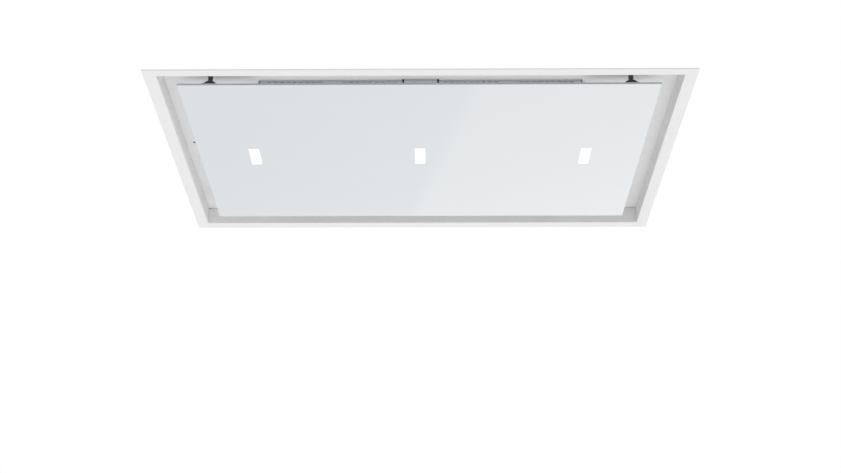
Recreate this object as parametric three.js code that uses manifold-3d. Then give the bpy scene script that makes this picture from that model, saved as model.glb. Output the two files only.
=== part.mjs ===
// Flush ceiling range hood with perimeter suction, built as an assembly of separate pieces.
// Millimetres. +X runs along the long side, +Y towards the panel's hinges, +Z up into the ceiling.
// The origin is the centre of the ceiling opening, on the plane of the ceiling.

import * as THREE from 'three';
import { mergeVertices } from 'three/addons/utils/BufferGeometryUtils.js';
import Module from 'manifold-3d';

const wasm = await Module();
wasm.setup();

// ---------------------------------------------------------------- driving dimensions

// Gaps between neighbouring pieces
const SEAT = 0.3; // pieces that bear on each other
const RUNNING = 0.3; // radial gap of a turning or sliding piece
const SWEEP = 2; // gap round the edge of a swinging flap

// Ceiling frame
const FRAME_LENGTH = 1000;
const FRAME_WIDTH = 700;
const FLANGE_WIDTH = 23;
const FLANGE_THICKNESS = 2;
const FLANGE_EDGE_DROP = 1.1; // the flange's rim hangs this much lower than its inner edge
const RECESS_DEPTH = 36.5; // underside of the flange to the deck
const RECESS_SHEET = 1.2;
const RETURN_WIDTH = 14; // lip at the top of the recess walls that carries the deck

// Glass panel
const GLASS_MARGIN_X = 56.5; // rim of the flange to the edge of the glass
const GLASS_MARGIN_Y = 57.5;
const GLASS_THICKNESS = 4;
const GLASS_RECESS = 1.2; // inner edge of the flange up to the underside of the glass
const GLASS_CORNER = 2;
const GLASS_SHIFT = -2.4; // the glass and its lamps sit this far towards the receiver

// Rails bonded to the back of the glass
const RAIL_INSET = 27;
const RAIL_WIDTH = 14;
const RAIL_HEIGHT = 8;
const PAD_SHEET = 1.2;
const PAD_SIZE = 27;

// Lamps
const LAMP_OFFSET = 33; // outer side of the filters to the middle of the side lamps
const LAMP_WIDTH = 21;
const LAMP_LENGTH = 69;
const LAMP_CORNER = 1.5;
const LAMP_LEDGE = 5; // the diffuser's ledge overlaps the back of the glass
const LAMP_LEDGE_THICKNESS = 1.5;
const LAMP_HOUSING_HEIGHT = 12;
const LAMP_HOUSING_WALL = 1.5;
const LAMP_HOUSING_MARGIN = 8;

// Panel catches
const CATCH_INSET_X = 56.5; // edge of the glass in to the stud's axis
const CATCH_INSET_Y = 14.5;
const CATCH_FOOT_RADIUS = 12.2;
const CATCH_FOOT_RISE = 3; // straight part of the foot
const CATCH_DOME_RISE = 5.5;
const CATCH_STEM_RADIUS = 4.5;
const CATCH_NECK_RADIUS = 3;
const CATCH_HEAD_RADIUS = 4.6;
const CATCH_HEAD_RISE = 9; // head above the deck
const CATCH_BARB_FOOT = 5; // top of the head down to the foot of its barb
const CATCH_BARB_MIDDLE = 3.5;
const CATCH_BARB_SHOULDER = 2;
const CATCH_PLAY = 0.9; // radial room that the head's arc needs
const SOCKET_WALL = 4;
const SOCKET_CROWN = 2;

// Panel hinges
const HINGE_INSET_X = 143.5; // edge of the glass in to the middle of the hinge
const HINGE_SETBACK = 17.5; // edge of the glass in to the hinge axis
const HINGE_AXIS_DROP = 20.5; // deck down to the hinge axis
const KNUCKLE_RADIUS = 5.5;
const KNUCKLE_LENGTH = 24;
const PIN_RADIUS = 2.5;
const PIN_OVERHANG = 1;
const EAR_THICKNESS = 3;
const LEAF_THICKNESS = 2;
const LEAF_DEPTH = 21;
const ARM_THICKNESS = 2;
const ARM_DEPTH = 12;

// Grease filters, bridge and rails under the deck
const FILTER_SIDE_MARGIN = 144.5; // edge of the glass in to the filter's outer side
const FILTER_END_GAP = 12; // end of the filter to the hinge leaf
const FILTER_THICKNESS = 9.7;
const FILTER_FOLD = 12; // width of the frame's folded lips
const FILTER_SHEET = 1;
const FILTER_OVERLAP = 10; // filter over the edge of the deck opening
const BRIDGE_WIDTH = 62.6;
const BRIDGE_OVERHANG = 3.5; // bridge longer than the filters at each end
const BRIDGE_SHEET = 1.2;
const BRIDGE_GAP = 2.4; // slit between bridge and filter
const FILTER_RAIL_GAP = 1.6; // slit between rail and filter
const FILTER_RAIL_SHEET = 1.2;
const FILTER_RAIL_LIP = 6;

// Filter latches
const LATCH_POCKET_LENGTH = 34; // along X
const LATCH_POCKET_WIDTH = 44; // along Y
const LATCH_POCKET_DEPTH = 6.5;
const LATCH_WALL = 1.2;
const LATCH_LIP = 4;
const LATCH_THICKNESS = 2.2;
const LATCH_TONGUE_WIDTH = 24;
const LATCH_TONGUE_REACH = 2.5; // tongue inside the wall of the bridge
const LATCH_BODY_LENGTH = 20;
const LATCH_GRIP = 4;

// Receiver, in the middle of the left gap
const RECEIVER_Y = 3;
const BEZEL_RADIUS = 3.2;
const BEZEL_TUBE_RADIUS = 2.6;
const BEZEL_LIP = 0.6;
const LENS_RADIUS = 1.4;
const LENS_RISE = 4;

// Casing above the deck
const CASING_MARGIN_X = 31; // filters' outer side to the casing
const CASING_MARGIN_Y = 37.5; // filters' ends to the casing
const MOTOR_HEADROOM = 6.1; // top of the motor to the casing's top
const CASING_SHEET = 1.2;
const CASING_FLANGE = 14;

// Blower
const BLOWER_X = -60;
const BLOWER_Y = -20;
const SCROLL_FLOOR = 40; // deck top up to the scroll's inlet plate
const SCROLL_HEIGHT = 120;
const SCROLL_SHEET = 1.2;
const SCROLL_TONGUE_RADIUS = 118;
const SCROLL_END_RADIUS = 175;
const SCROLL_START_ANGLE = 60; // degrees, where the spiral leaves the tongue
const SCROLL_STEPS = 24;
const MOUTH_WIDTH = 150;
const HANGER_TAB_WIDTH = 30;
const HANGER_TAB_OFFSET = 100; // each tab from the blower's axis, along X
const INLET_GAP = 2; // wheel's ring to the inlet
const INLET_WALL = 1.5;
const INLET_RISE = 12;
const INLET_ROUND = 2; // height of the inlet's curved foot
const WHEEL_RADIUS = 105;
const WHEEL_DISC = 1.6;
const WHEEL_RING_WIDTH = 18;
const WHEEL_GAP = 14; // wheel to the scroll's plates
const BLADE_COUNT = 28;
const BLADE_THICKNESS = 1.2;
const BLADE_LEAN = 32; // degrees
const HUB_RADIUS = 14;
const HUB_DROP = 10;
const SHAFT_RADIUS = 4;

// Motor
const MOTOR_RADIUS = 50;
const MOTOR_HEIGHT = 32;
const MOTOR_BORE_DEPTH = 24;
const MOTOR_COLLAR = 5;
const MOUNT_COUNT = 3;
const MOUNT_CIRCLE = 62;
const MOUNT_RADIUS = 7;
const MOUNT_HEIGHT = 5;
const MOTOR_PLATE = 1.6;
const MOTOR_PLATE_RADIUS = 70;
const MOTOR_HOLE_RADIUS = 22;

// Duct collar and non-return flaps
const DUCT_RADIUS = 75;
const COLLAR_WALL = 1.2;
const COLLAR_LENGTH = 62;
const COLLAR_FLANGE = 12;
const COLLAR_FLANGE_THICKNESS = 1.5;
const FLAP_OFFSET = 18; // casing wall out to the flaps' spindle
const FLAP_THICKNESS = 1.2;
const SPINDLE_RADIUS = 2;
const SPINDLE_OVERHANG = 1.5;
const FLAP_KNUCKLE_RADIUS = 4;
const FLAP_KNUCKLE_LENGTH = 30;

// Electrics on the deck
const CONTROL_LENGTH = 110; // along X
const CONTROL_WIDTH = 220; // along Y
const CONTROL_HEIGHT = 50;
const CONTROL_WALL = 1.5;
const CONTROL_GAP = 12; // control box to the casing's flange
const LID_LIP = 8;
const BOARD_THICKNESS = 1.6;
const BOARD_MARGIN = 10;
const BOARD_STANDOFF = 6;
const BOARD_POST_RADIUS = 3;
const TERMINAL_LENGTH = 46;
const TERMINAL_DEPTH = 16;
const TERMINAL_HEIGHT = 18;
const TERMINAL_WAYS = 3;
const TERMINAL_SCREW_RADIUS = 3.5;
const TERMINAL_SCREW_DEPTH = 5;
const GLAND_RADIUS = 11;
const GLAND_THREAD_RADIUS = 8;
const GLAND_BORE = 4.5;
const GLAND_LENGTH = 20;
const GLAND_NUT_LENGTH = 5;
const GLAND_NUT_TAPER = 2;
const DRIVER_LENGTH = 60;
const DRIVER_WIDTH = 160;
const DRIVER_HEIGHT = 32;
const DRIVER_TAB = 10;
const DRIVER_TAB_THICKNESS = 2;

// Hanging brackets
const BRACKET_INSET = 65; // corner of the casing to the middle of the bracket
const BRACKET_WIDTH = 40;
const BRACKET_ARM = 45;
const BRACKET_LEG = 60;
const BRACKET_SHEET = 3;
const BRACKET_DROP = 20; // top of the casing down to the bracket's arm
const ROD_HOLE_RADIUS = 4.5;

// ---------------------------------------------------------------- places worked out from them

const recessX = FRAME_LENGTH / 2 - FLANGE_WIDTH;
const recessY = FRAME_WIDTH / 2 - FLANGE_WIDTH;
const flangeUnder = -FLANGE_THICKNESS;
const deckUnder = flangeUnder + RECESS_DEPTH;
const deckTop = deckUnder + RECESS_SHEET;

const glassX = FRAME_LENGTH / 2 - GLASS_MARGIN_X;
const glassY = FRAME_WIDTH / 2 - GLASS_MARGIN_Y;
const glassUnder = flangeUnder + GLASS_RECESS;
const glassTop = glassUnder + GLASS_THICKNESS;
const railFoot = glassTop + SEAT;
const railTop = railFoot + RAIL_HEIGHT;

const catchX = glassX - CATCH_INSET_X;
const catchY = -(glassY - CATCH_INSET_Y);
const receiverX = -(glassX + recessX) / 2;

const hingeX = glassX - HINGE_INSET_X;
const hingeAxisY = glassY - HINGE_SETBACK;
const hingeAxisZ = deckUnder - HINGE_AXIS_DROP;
const leafFront = hingeAxisY + KNUCKLE_RADIUS;
const leafBack = leafFront - LEAF_DEPTH;

const filterTop = deckUnder - SEAT;
const filterUnder = filterTop - FILTER_THICKNESS;
const filterInnerX = BRIDGE_WIDTH / 2 + BRIDGE_GAP;
const filterOuterX = glassX - FILTER_SIDE_MARGIN;
const filterMiddleX = (filterInnerX + filterOuterX) / 2;
const filterWidth = filterOuterX - filterInnerX;
const filterLength = 2 * (leafBack - FILTER_END_GAP);
const lampX = filterOuterX + LAMP_OFFSET;

const casingFoot = deckTop + SEAT;
const casingX = filterOuterX + CASING_MARGIN_X;
const casingY = filterLength / 2 + CASING_MARGIN_Y;
const bracketY = casingY - BRACKET_INSET;

const scrollFloor = deckTop + SCROLL_FLOOR;
const scrollFoot = scrollFloor + SCROLL_SHEET + SEAT;
const scrollTop = scrollFoot + SCROLL_HEIGHT;
const inletRadius = WHEEL_RADIUS - WHEEL_RING_WIDTH - INLET_GAP;
const ductX = BLOWER_X + SCROLL_END_RADIUS - MOUTH_WIDTH / 2;
const ductZ = (scrollFloor + scrollTop) / 2;
const flapY = casingY + FLAP_OFFSET;

const motorPlateFoot = scrollTop + SEAT + MOUNT_HEIGHT + SEAT;
const motorFoot = motorPlateFoot + MOTOR_PLATE + SEAT;
const casingCeiling = motorFoot + MOTOR_HEIGHT + MOTOR_HEADROOM;
const casingTopZ = casingCeiling + CASING_SHEET;

// ---------------------------------------------------------------- materials

function finish(colour, roughness, metalness) {
  return new THREE.MeshStandardMaterial({ color: colour, roughness, metalness });
}

const MATERIALS = {
  brightSteel: () => finish(0xdcdcdc, 0.3, 0.9),
  whiteGlass: () => finish(0xeef1f3, 0.05, 0),
  diffuser: () => finish(0xffffff, 0.4, 0),
  blackPlastic: () => finish(0x222224, 0.5, 0),
  redLens: () => finish(0xd84a20, 0.2, 0),
  aluminium: () => finish(0xb9bbbd, 0.45, 0.9),
  meshAluminium: () => finish(0x9a9a9e, 0.5, 0.9),
  galvanised: () => finish(0xa9afb3, 0.45, 0.8),
  greyPlastic: () => finish(0x8c9094, 0.5, 0),
  whitePlastic: () => finish(0xe6e6e2, 0.5, 0),
  motorSteel: () => finish(0x6f7478, 0.4, 0.8),
  shaftSteel: () => finish(0xb0b2b4, 0.25, 1),
  rubber: () => finish(0x1d1d1f, 0.9, 0),
  board: () => finish(0x2c6a3d, 0.5, 0),
};

// ---------------------------------------------------------------- solid helpers

// Turns every face of a closed surface outwards.
function facingOut(index, position) {
  let volume = 0;
  const a = new THREE.Vector3();
  const b = new THREE.Vector3();
  const c = new THREE.Vector3();
  for (let i = 0; i < index.length; i += 3) {
    a.fromArray(position, index[i] * 3);
    b.fromArray(position, index[i + 1] * 3);
    c.fromArray(position, index[i + 2] * 3);
    volume += a.dot(b.cross(c));
  }
  if (volume > 0) return index;
  const turned = Uint32Array.from(index);
  for (let i = 0; i < index.length; i += 3) {
    turned[i] = index[i + 1];
    turned[i + 1] = index[i];
  }
  return turned;
}

// A solid that can be cut and joined, from a closed three.js geometry.
function solid(geometry) {
  const bare = geometry.clone();
  bare.deleteAttribute('normal');
  bare.deleteAttribute('uv');
  const merged = mergeVertices(bare, 1e-4);
  const position = Float32Array.from(merged.attributes.position.array);
  const index = facingOut(Uint32Array.from(merged.index.array), position);
  return new wasm.Manifold(new wasm.Mesh({ numProp: 3, vertProperties: position, triVerts: index }));
}

function geometryOf(manifold) {
  const { vertProperties, triVerts } = manifold.getMesh();
  const geometry = new THREE.BufferGeometry();
  geometry.setAttribute('position', new THREE.BufferAttribute(Float32Array.from(vertProperties), 3));
  geometry.setIndex(new THREE.BufferAttribute(Uint32Array.from(triVerts), 1));
  return geometry;
}

function piece(name, manifold, material) {
  const mesh = new THREE.Mesh(geometryOf(manifold).toNonIndexed(), material());
  mesh.geometry.computeVertexNormals();
  mesh.name = name;
  return mesh;
}

function join(first, ...rest) {
  return rest.reduce((sum, next) => sum.add(next), first);
}

function cut(first, ...rest) {
  return rest.reduce((sum, next) => sum.subtract(next), first);
}

// Box between two corners.
function block(x0, x1, y0, y1, z0, z1) {
  const geometry = new THREE.BoxGeometry(x1 - x0, y1 - y0, z1 - z0);
  geometry.translate((x0 + x1) / 2, (y0 + y1) / 2, (z0 + z1) / 2);
  return solid(geometry);
}

// Rectangular sheet with its middle at (x, y), from z0 up to z1.
function sheet(x, y, length, width, z0, z1) {
  return block(x - length / 2, x + length / 2, y - width / 2, y + width / 2, z0, z1);
}

function cylinder(x, y, radius, z0, z1, sides = 24) {
  const geometry = new THREE.CylinderGeometry(radius, radius, z1 - z0, sides);
  geometry.rotateX(Math.PI / 2);
  geometry.translate(x, y, (z0 + z1) / 2);
  return solid(geometry);
}

// Cylinder along X between x0 and x1.
function crossPin(x0, x1, y, z, radius, sides = 16) {
  const geometry = new THREE.CylinderGeometry(radius, radius, x1 - x0, sides);
  geometry.rotateZ(Math.PI / 2);
  geometry.translate((x0 + x1) / 2, y, z);
  return solid(geometry);
}

// Profile of [radius, height] points turned round Z at (x, y).
function turned(x, y, profile, sides = 32) {
  const points = profile.map(([r, z]) => new THREE.Vector2(r, z));
  const geometry = new THREE.LatheGeometry(points, sides);
  geometry.rotateX(Math.PI / 2);
  geometry.translate(x, y, 0);
  return solid(geometry);
}

// Profile of [radius, distance] points turned round an axis along +Y, which starts at (x, y, z).
function turnedAlongY(x, y, z, profile, sides = 48) {
  const points = profile.map(([r, d]) => new THREE.Vector2(r, d));
  const geometry = new THREE.LatheGeometry(points, sides);
  geometry.translate(x, y, z);
  return solid(geometry);
}

// Closed ring of [radius, height] points: the list's first point is repeated at its end.
function closed(profile) {
  return [...profile, profile[0]];
}

// Mitred frame: a profile of [outset, z] points carried round a rectangle of half sizes hx and hy.
function mitredRing(x, y, hx, hy, profile) {
  const corners = [[1, 1], [-1, 1], [-1, -1], [1, -1]];
  const position = [];
  for (const [sx, sy] of corners) {
    for (const [outset, z] of profile) {
      position.push(x + sx * (hx + outset), y + sy * (hy + outset), z);
    }
  }
  const count = profile.length;
  const index = [];
  for (let side = 0; side < corners.length; side += 1) {
    const next = (side + 1) % corners.length;
    for (let i = 0; i < count; i += 1) {
      const j = (i + 1) % count;
      const [a, b, c, d] = [side * count + i, side * count + j, next * count + j, next * count + i];
      index.push(a, b, c, a, c, d);
    }
  }
  const geometry = new THREE.BufferGeometry();
  geometry.setAttribute('position', new THREE.Float32BufferAttribute(position, 3));
  geometry.setIndex(index);
  return solid(geometry);
}

function roundedOutline(length, width, radius) {
  const [hx, hy] = [length / 2, width / 2];
  const shape = new THREE.Shape();
  shape.moveTo(hx, hy - radius);
  shape.absarc(hx - radius, hy - radius, radius, 0, Math.PI / 2);
  shape.absarc(-hx + radius, hy - radius, radius, Math.PI / 2, Math.PI);
  shape.absarc(-hx + radius, -hy + radius, radius, Math.PI, 1.5 * Math.PI);
  shape.absarc(hx - radius, -hy + radius, radius, 1.5 * Math.PI, 2 * Math.PI);
  shape.closePath();
  return shape;
}

function extruded(shape, x, y, z0, z1, curveSegments = 4) {
  const options = { depth: z1 - z0, bevelEnabled: false, curveSegments };
  const geometry = new THREE.ExtrudeGeometry(shape, options);
  geometry.translate(x, y, z0);
  return solid(geometry);
}

// ---------------------------------------------------------------- ceiling frame and deck

function trimFrame() {
  const profile = [
    [0, flangeUnder],
    [FLANGE_WIDTH, flangeUnder - FLANGE_EDGE_DROP],
    [FLANGE_WIDTH, 0],
    [RECESS_SHEET, 0],
    [RECESS_SHEET, deckUnder - SEAT - RECESS_SHEET],
    [RETURN_WIDTH, deckUnder - SEAT - RECESS_SHEET],
    [RETURN_WIDTH, deckUnder - SEAT],
    [0, deckUnder - SEAT],
  ];
  return piece('trim_frame', mitredRing(0, 0, recessX, recessY, profile), MATERIALS.brightSteel);
}

function deckPlate() {
  const length = 2 * (recessX + RETURN_WIDTH);
  const width = 2 * (recessY + RETURN_WIDTH);
  const openingLength = filterWidth - 2 * FILTER_OVERLAP;
  const openingWidth = filterLength - 2 * FILTER_OVERLAP;
  const [low, high] = [deckUnder - 1, deckTop + 1];
  const cuts = [];
  for (const side of [-1, 1]) {
    cuts.push(sheet(side * filterMiddleX, 0, openingLength, openingWidth, low, high));
    cuts.push(cylinder(side * catchX, catchY, CATCH_HEAD_RADIUS + CATCH_PLAY, low, high));
  }
  cuts.push(cylinder(receiverX, RECEIVER_Y, BEZEL_TUBE_RADIUS + SEAT, low, high));
  const plate = cut(sheet(0, 0, length, width, deckUnder, deckTop), ...cuts);
  return piece('deck_plate', plate, MATERIALS.brightSteel);
}

function receiver() {
  const lipFoot = deckUnder - SEAT - BEZEL_LIP;
  const bezel = turned(receiverX, RECEIVER_Y, closed([
    [LENS_RADIUS + SEAT, lipFoot],
    [BEZEL_RADIUS, lipFoot],
    [BEZEL_RADIUS, lipFoot + BEZEL_LIP],
    [BEZEL_TUBE_RADIUS, lipFoot + BEZEL_LIP],
    [BEZEL_TUBE_RADIUS, deckTop],
    [LENS_RADIUS + SEAT, deckTop],
  ]), 20);
  const lens = cylinder(receiverX, RECEIVER_Y, LENS_RADIUS, lipFoot, lipFoot + LENS_RISE, 16);
  return [
    piece('receiver_bezel', bezel, MATERIALS.blackPlastic),
    piece('receiver_lens', lens, MATERIALS.redLens),
  ];
}

// ---------------------------------------------------------------- filters under the deck

function filterBridge() {
  const half = BRIDGE_WIDTH / 2;
  const halfLength = filterLength / 2 + BRIDGE_OVERHANG;
  const wall = BRIDGE_SHEET;
  const [innerHalf, innerLength] = [half - wall, halfLength - wall];
  const tray = cut(
    block(-half, half, -halfLength, halfLength, filterUnder, filterTop),
    block(-innerHalf, innerHalf, -innerLength, innerLength, filterUnder + wall, filterTop + 1),
  );
  const slot = latchLevels();
  const slotWidth = LATCH_TONGUE_WIDTH / 2 + 1;
  const slots = block(-half - 1, half + 1, -slotWidth, slotWidth, slot.foot - RUNNING, slot.top + RUNNING);
  return piece('filter_bridge', cut(tray, slots), MATERIALS.aluminium);
}

// Heights of the latch plate: it slides on the lips of its housing.
function latchLevels() {
  const foot = filterUnder + LATCH_WALL + RUNNING;
  return { foot, top: foot + LATCH_THICKNESS };
}

// Cut-out in the filter for the latch, on the side that faces the bridge.
function latchPocket(side, grow, depth) {
  const near = filterInnerX - 1;
  const far = filterInnerX + LATCH_POCKET_LENGTH + grow;
  const half = LATCH_POCKET_WIDTH / 2 + grow;
  const [x0, x1] = side > 0 ? [near, far] : [-far, -near];
  return block(x0, x1, -half, half, filterUnder - 1, filterUnder + depth);
}

function filterFrame(side, name) {
  const t = FILTER_THICKNESS;
  const profile = [
    [0, 0], [0, t], [-FILTER_FOLD, t], [-FILTER_FOLD, t - FILTER_SHEET], [-FILTER_SHEET, t - FILTER_SHEET],
    [-FILTER_SHEET, FILTER_SHEET], [-FILTER_FOLD, FILTER_SHEET], [-FILTER_FOLD, 0],
  ].map(([outset, z]) => [outset, filterUnder + z]);
  const middle = side * filterMiddleX;
  const ring = mitredRing(middle, 0, filterWidth / 2, filterLength / 2, profile);
  const frame = cut(ring, latchPocket(side, 0, LATCH_POCKET_DEPTH));
  return piece(`filter_frame_${name}`, frame, MATERIALS.aluminium);
}

function filterMesh(side, name) {
  const inset = 2 * (FILTER_SHEET + SEAT);
  const middle = side * filterMiddleX;
  const [z0, z1] = [filterUnder + inset / 2, filterTop - inset / 2];
  const pad = sheet(middle, 0, filterWidth - inset, filterLength - inset, z0, z1);
  const mesh = cut(pad, latchPocket(side, SEAT, LATCH_POCKET_DEPTH + SEAT));
  return piece(`filter_mesh_${name}`, mesh, MATERIALS.meshAluminium);
}

function filterRail(side, name) {
  const inner = filterOuterX + FILTER_RAIL_GAP;
  const outer = inner + FILTER_RAIL_SHEET;
  const halfLength = filterLength / 2;
  const lipTop = filterUnder - SEAT;
  const foot = lipTop - FILTER_RAIL_SHEET;
  const span = (x0, x1) => (side > 0 ? [x0, x1] : [-x1, -x0]);
  const wall = block(...span(inner, outer), -halfLength, halfLength, foot, filterTop);
  const lip = block(...span(inner - FILTER_RAIL_LIP, outer), -halfLength, halfLength, foot, lipTop);
  return piece(`filter_rail_${name}`, join(wall, lip), MATERIALS.aluminium);
}

// Tray for the latch, open below and towards the bridge.
function latchHousing(side, name) {
  const near = filterInnerX + SEAT;
  const far = filterInnerX + LATCH_POCKET_LENGTH - SEAT;
  const half = LATCH_POCKET_WIDTH / 2 - SEAT;
  const foot = filterUnder;
  const top = filterUnder + LATCH_POCKET_DEPTH - SEAT;
  const innerHalf = half - LATCH_WALL;
  const span = (x0, x1) => (side > 0 ? [x0, x1] : [-x1, -x0]);
  const shell = block(...span(near, far), -half, half, foot, top);
  const channel = block(
    ...span(near - 1, far - LATCH_WALL), -innerHalf, innerHalf, foot + LATCH_WALL, top - LATCH_WALL,
  );
  const mouth = block(
    ...span(near - 1, far - LATCH_WALL), -(innerHalf - LATCH_LIP), innerHalf - LATCH_LIP,
    foot - 1, foot + LATCH_WALL + 1,
  );
  return piece(`latch_housing_${name}`, cut(shell, channel, mouth), MATERIALS.blackPlastic);
}

// Sliding plate: its tongue rests in the wall of the bridge and its grip is pulled away from the bridge.
function filterLatch(side, name) {
  const { foot, top } = latchLevels();
  const tip = BRIDGE_WIDTH / 2 - LATCH_TONGUE_REACH;
  const shoulder = filterInnerX + SEAT;
  const heel = shoulder + LATCH_BODY_LENGTH;
  const bodyHalf = LATCH_POCKET_WIDTH / 2 - SEAT - LATCH_WALL - RUNNING;
  const gripHalf = bodyHalf - LATCH_LIP - RUNNING;
  const tongueHalf = LATCH_TONGUE_WIDTH / 2;
  const span = (x0, x1) => (side > 0 ? [x0, x1] : [-x1, -x0]);
  const plate = block(...span(shoulder, heel), -bodyHalf, bodyHalf, foot, top);
  const tongue = block(...span(tip, shoulder + 1), -tongueHalf, tongueHalf, foot, top);
  const grip = block(...span(heel - LATCH_GRIP, heel), -gripHalf, gripHalf, filterUnder, foot + 1);
  return piece(`filter_latch_${name}`, join(plate, tongue, grip), MATERIALS.blackPlastic);
}

// ---------------------------------------------------------------- glass panel and what it carries

function lampPlaces() {
  return [['left', GLASS_SHIFT - lampX], ['centre', GLASS_SHIFT], ['right', GLASS_SHIFT + lampX]];
}

function glassPanel() {
  const outline = roundedOutline(2 * glassX, 2 * glassY, GLASS_CORNER);
  const windows = lampPlaces().map(([, x]) => {
    const window = roundedOutline(LAMP_WIDTH, LAMP_LENGTH, LAMP_CORNER);
    return extruded(window, x, 0, glassUnder - 1, glassTop + 1);
  });
  const plate = cut(extruded(outline, GLASS_SHIFT, 0, glassUnder, glassTop), ...windows);
  return piece('glass_panel', plate, MATERIALS.whiteGlass);
}

function panelFrame() {
  const profile = [[0, railFoot], [0, railTop], [-RAIL_WIDTH, railTop], [-RAIL_WIDTH, railFoot]];
  const [hx, hy] = [glassX - RAIL_INSET, glassY - RAIL_INSET];
  const ring = mitredRing(0, 0, hx, hy, profile);
  const pads = [-1, 1].map((side) => {
    const half = PAD_SIZE / 2;
    const x = side * catchX;
    return block(x - half, x + half, catchY - half, -hy + 1, railFoot, railFoot + PAD_SHEET);
  });
  return piece('panel_frame', join(ring, ...pads), MATERIALS.aluminium);
}

function lamp([name, x]) {
  const ledgeLength = LAMP_LENGTH + 2 * LAMP_LEDGE;
  const ledgeWidth = LAMP_WIDTH + 2 * LAMP_LEDGE;
  const ledgeTop = railFoot + LAMP_LEDGE_THICKNESS;
  const plug = roundedOutline(LAMP_WIDTH - 2 * SEAT, LAMP_LENGTH - 2 * SEAT, LAMP_CORNER);
  const diffuser = join(
    extruded(plug, x, 0, glassUnder, railFoot + 0.5),
    sheet(x, 0, ledgeWidth, ledgeLength, railFoot, ledgeTop),
  );
  const outerWidth = ledgeWidth + 2 * LAMP_HOUSING_MARGIN;
  const outerLength = ledgeLength + 2 * LAMP_HOUSING_MARGIN;
  const wall = LAMP_HOUSING_WALL;
  const [innerWidth, innerLength] = [outerWidth - 2 * wall, outerLength - 2 * wall];
  const housingTop = railFoot + LAMP_HOUSING_HEIGHT;
  const housing = cut(
    sheet(x, 0, outerWidth, outerLength, railFoot, housingTop),
    sheet(x, 0, ledgeWidth + 2 * SEAT, ledgeLength + 2 * SEAT, railFoot - 1, ledgeTop + SEAT),
    sheet(x, 0, innerWidth, innerLength, railFoot + wall, housingTop - wall),
  );
  return [
    piece(`led_diffuser_${name}`, diffuser, MATERIALS.diffuser),
    piece(`led_housing_${name}`, housing, MATERIALS.whitePlastic),
  ];
}

function catchStud(side, name) {
  const foot = railFoot + PAD_SHEET + SEAT;
  const domeFoot = foot + CATCH_FOOT_RISE;
  const steps = 4;
  const dome = [];
  for (let i = 0; i <= steps; i += 1) {
    const angle = (i / steps) * (Math.PI / 2);
    const radius = CATCH_STEM_RADIUS + (CATCH_FOOT_RADIUS - CATCH_STEM_RADIUS) * Math.cos(angle);
    dome.push([radius, domeFoot + CATCH_DOME_RISE * Math.sin(angle)]);
  }
  const head = deckTop + CATCH_HEAD_RISE;
  const stud = turned(side * catchX, catchY, [
    [0, foot],
    [CATCH_FOOT_RADIUS, foot],
    ...dome,
    [CATCH_STEM_RADIUS, deckTop],
    [CATCH_NECK_RADIUS, deckTop + 1],
    [CATCH_NECK_RADIUS, head - CATCH_BARB_FOOT],
    [CATCH_HEAD_RADIUS, head - CATCH_BARB_MIDDLE],
    [CATCH_HEAD_RADIUS, head - CATCH_BARB_SHOULDER],
    [CATCH_NECK_RADIUS, head],
    [0, head],
  ], 20);
  return piece(`catch_stud_${name}`, stud, MATERIALS.blackPlastic);
}

function catchSocket(side, name) {
  const bore = CATCH_HEAD_RADIUS + CATCH_PLAY;
  const outer = bore + SOCKET_WALL;
  const foot = deckTop + SEAT;
  const crown = deckTop + CATCH_HEAD_RISE + CATCH_PLAY;
  const socket = turned(side * catchX, catchY, [
    [0, crown],
    [bore, crown],
    [bore, foot],
    [outer, foot],
    [outer, crown + SOCKET_CROWN],
    [0, crown + SOCKET_CROWN],
  ], 20);
  return piece(`catch_socket_${name}`, socket, MATERIALS.greyPlastic);
}

function hingeSide(side, name) {
  const x = side * hingeX;
  const half = KNUCKLE_LENGTH / 2;
  const earFrom = half + RUNNING;
  const earTo = earFrom + EAR_THICKNESS;
  const bore = PIN_RADIUS + RUNNING;
  const [y, z] = [hingeAxisY, hingeAxisZ];
  const leafTop = deckUnder - SEAT;

  const ears = [-1, 1].flatMap((end) => {
    const [x0, x1] = end > 0 ? [x + earFrom, x + earTo] : [x - earTo, x - earFrom];
    const web = block(x0, x1, y - KNUCKLE_RADIUS, y + KNUCKLE_RADIUS, z, leafTop);
    return [web, crossPin(x0, x1, y, z, KNUCKLE_RADIUS, 24)];
  });
  const plate = block(x - earTo, x + earTo, leafBack, leafFront, leafTop - LEAF_THICKNESS, leafTop);
  const leaf = cut(join(plate, ...ears), crossPin(x - earTo - 1, x + earTo + 1, y, z, bore));

  const railFace = glassY - RAIL_INSET;
  const armFoot = railTop + SEAT;
  const armBack = railFace - ARM_DEPTH;
  const arm = cut(
    join(
      crossPin(x - half, x + half, y, z, KNUCKLE_RADIUS, 24),
      block(x - half, x + half, armBack, y, armFoot, armFoot + ARM_THICKNESS),
    ),
    crossPin(x - half - 1, x + half + 1, y, z, bore),
  );

  const pin = crossPin(x - earTo - PIN_OVERHANG, x + earTo + PIN_OVERHANG, y, z, PIN_RADIUS);
  return {
    fixed: [
      piece(`hinge_leaf_${name}`, leaf, MATERIALS.shaftSteel),
      piece(`hinge_pin_${name}`, pin, MATERIALS.shaftSteel),
    ],
    moving: [piece(`hinge_arm_${name}`, arm, MATERIALS.shaftSteel)],
  };
}

// ---------------------------------------------------------------- casing

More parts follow.
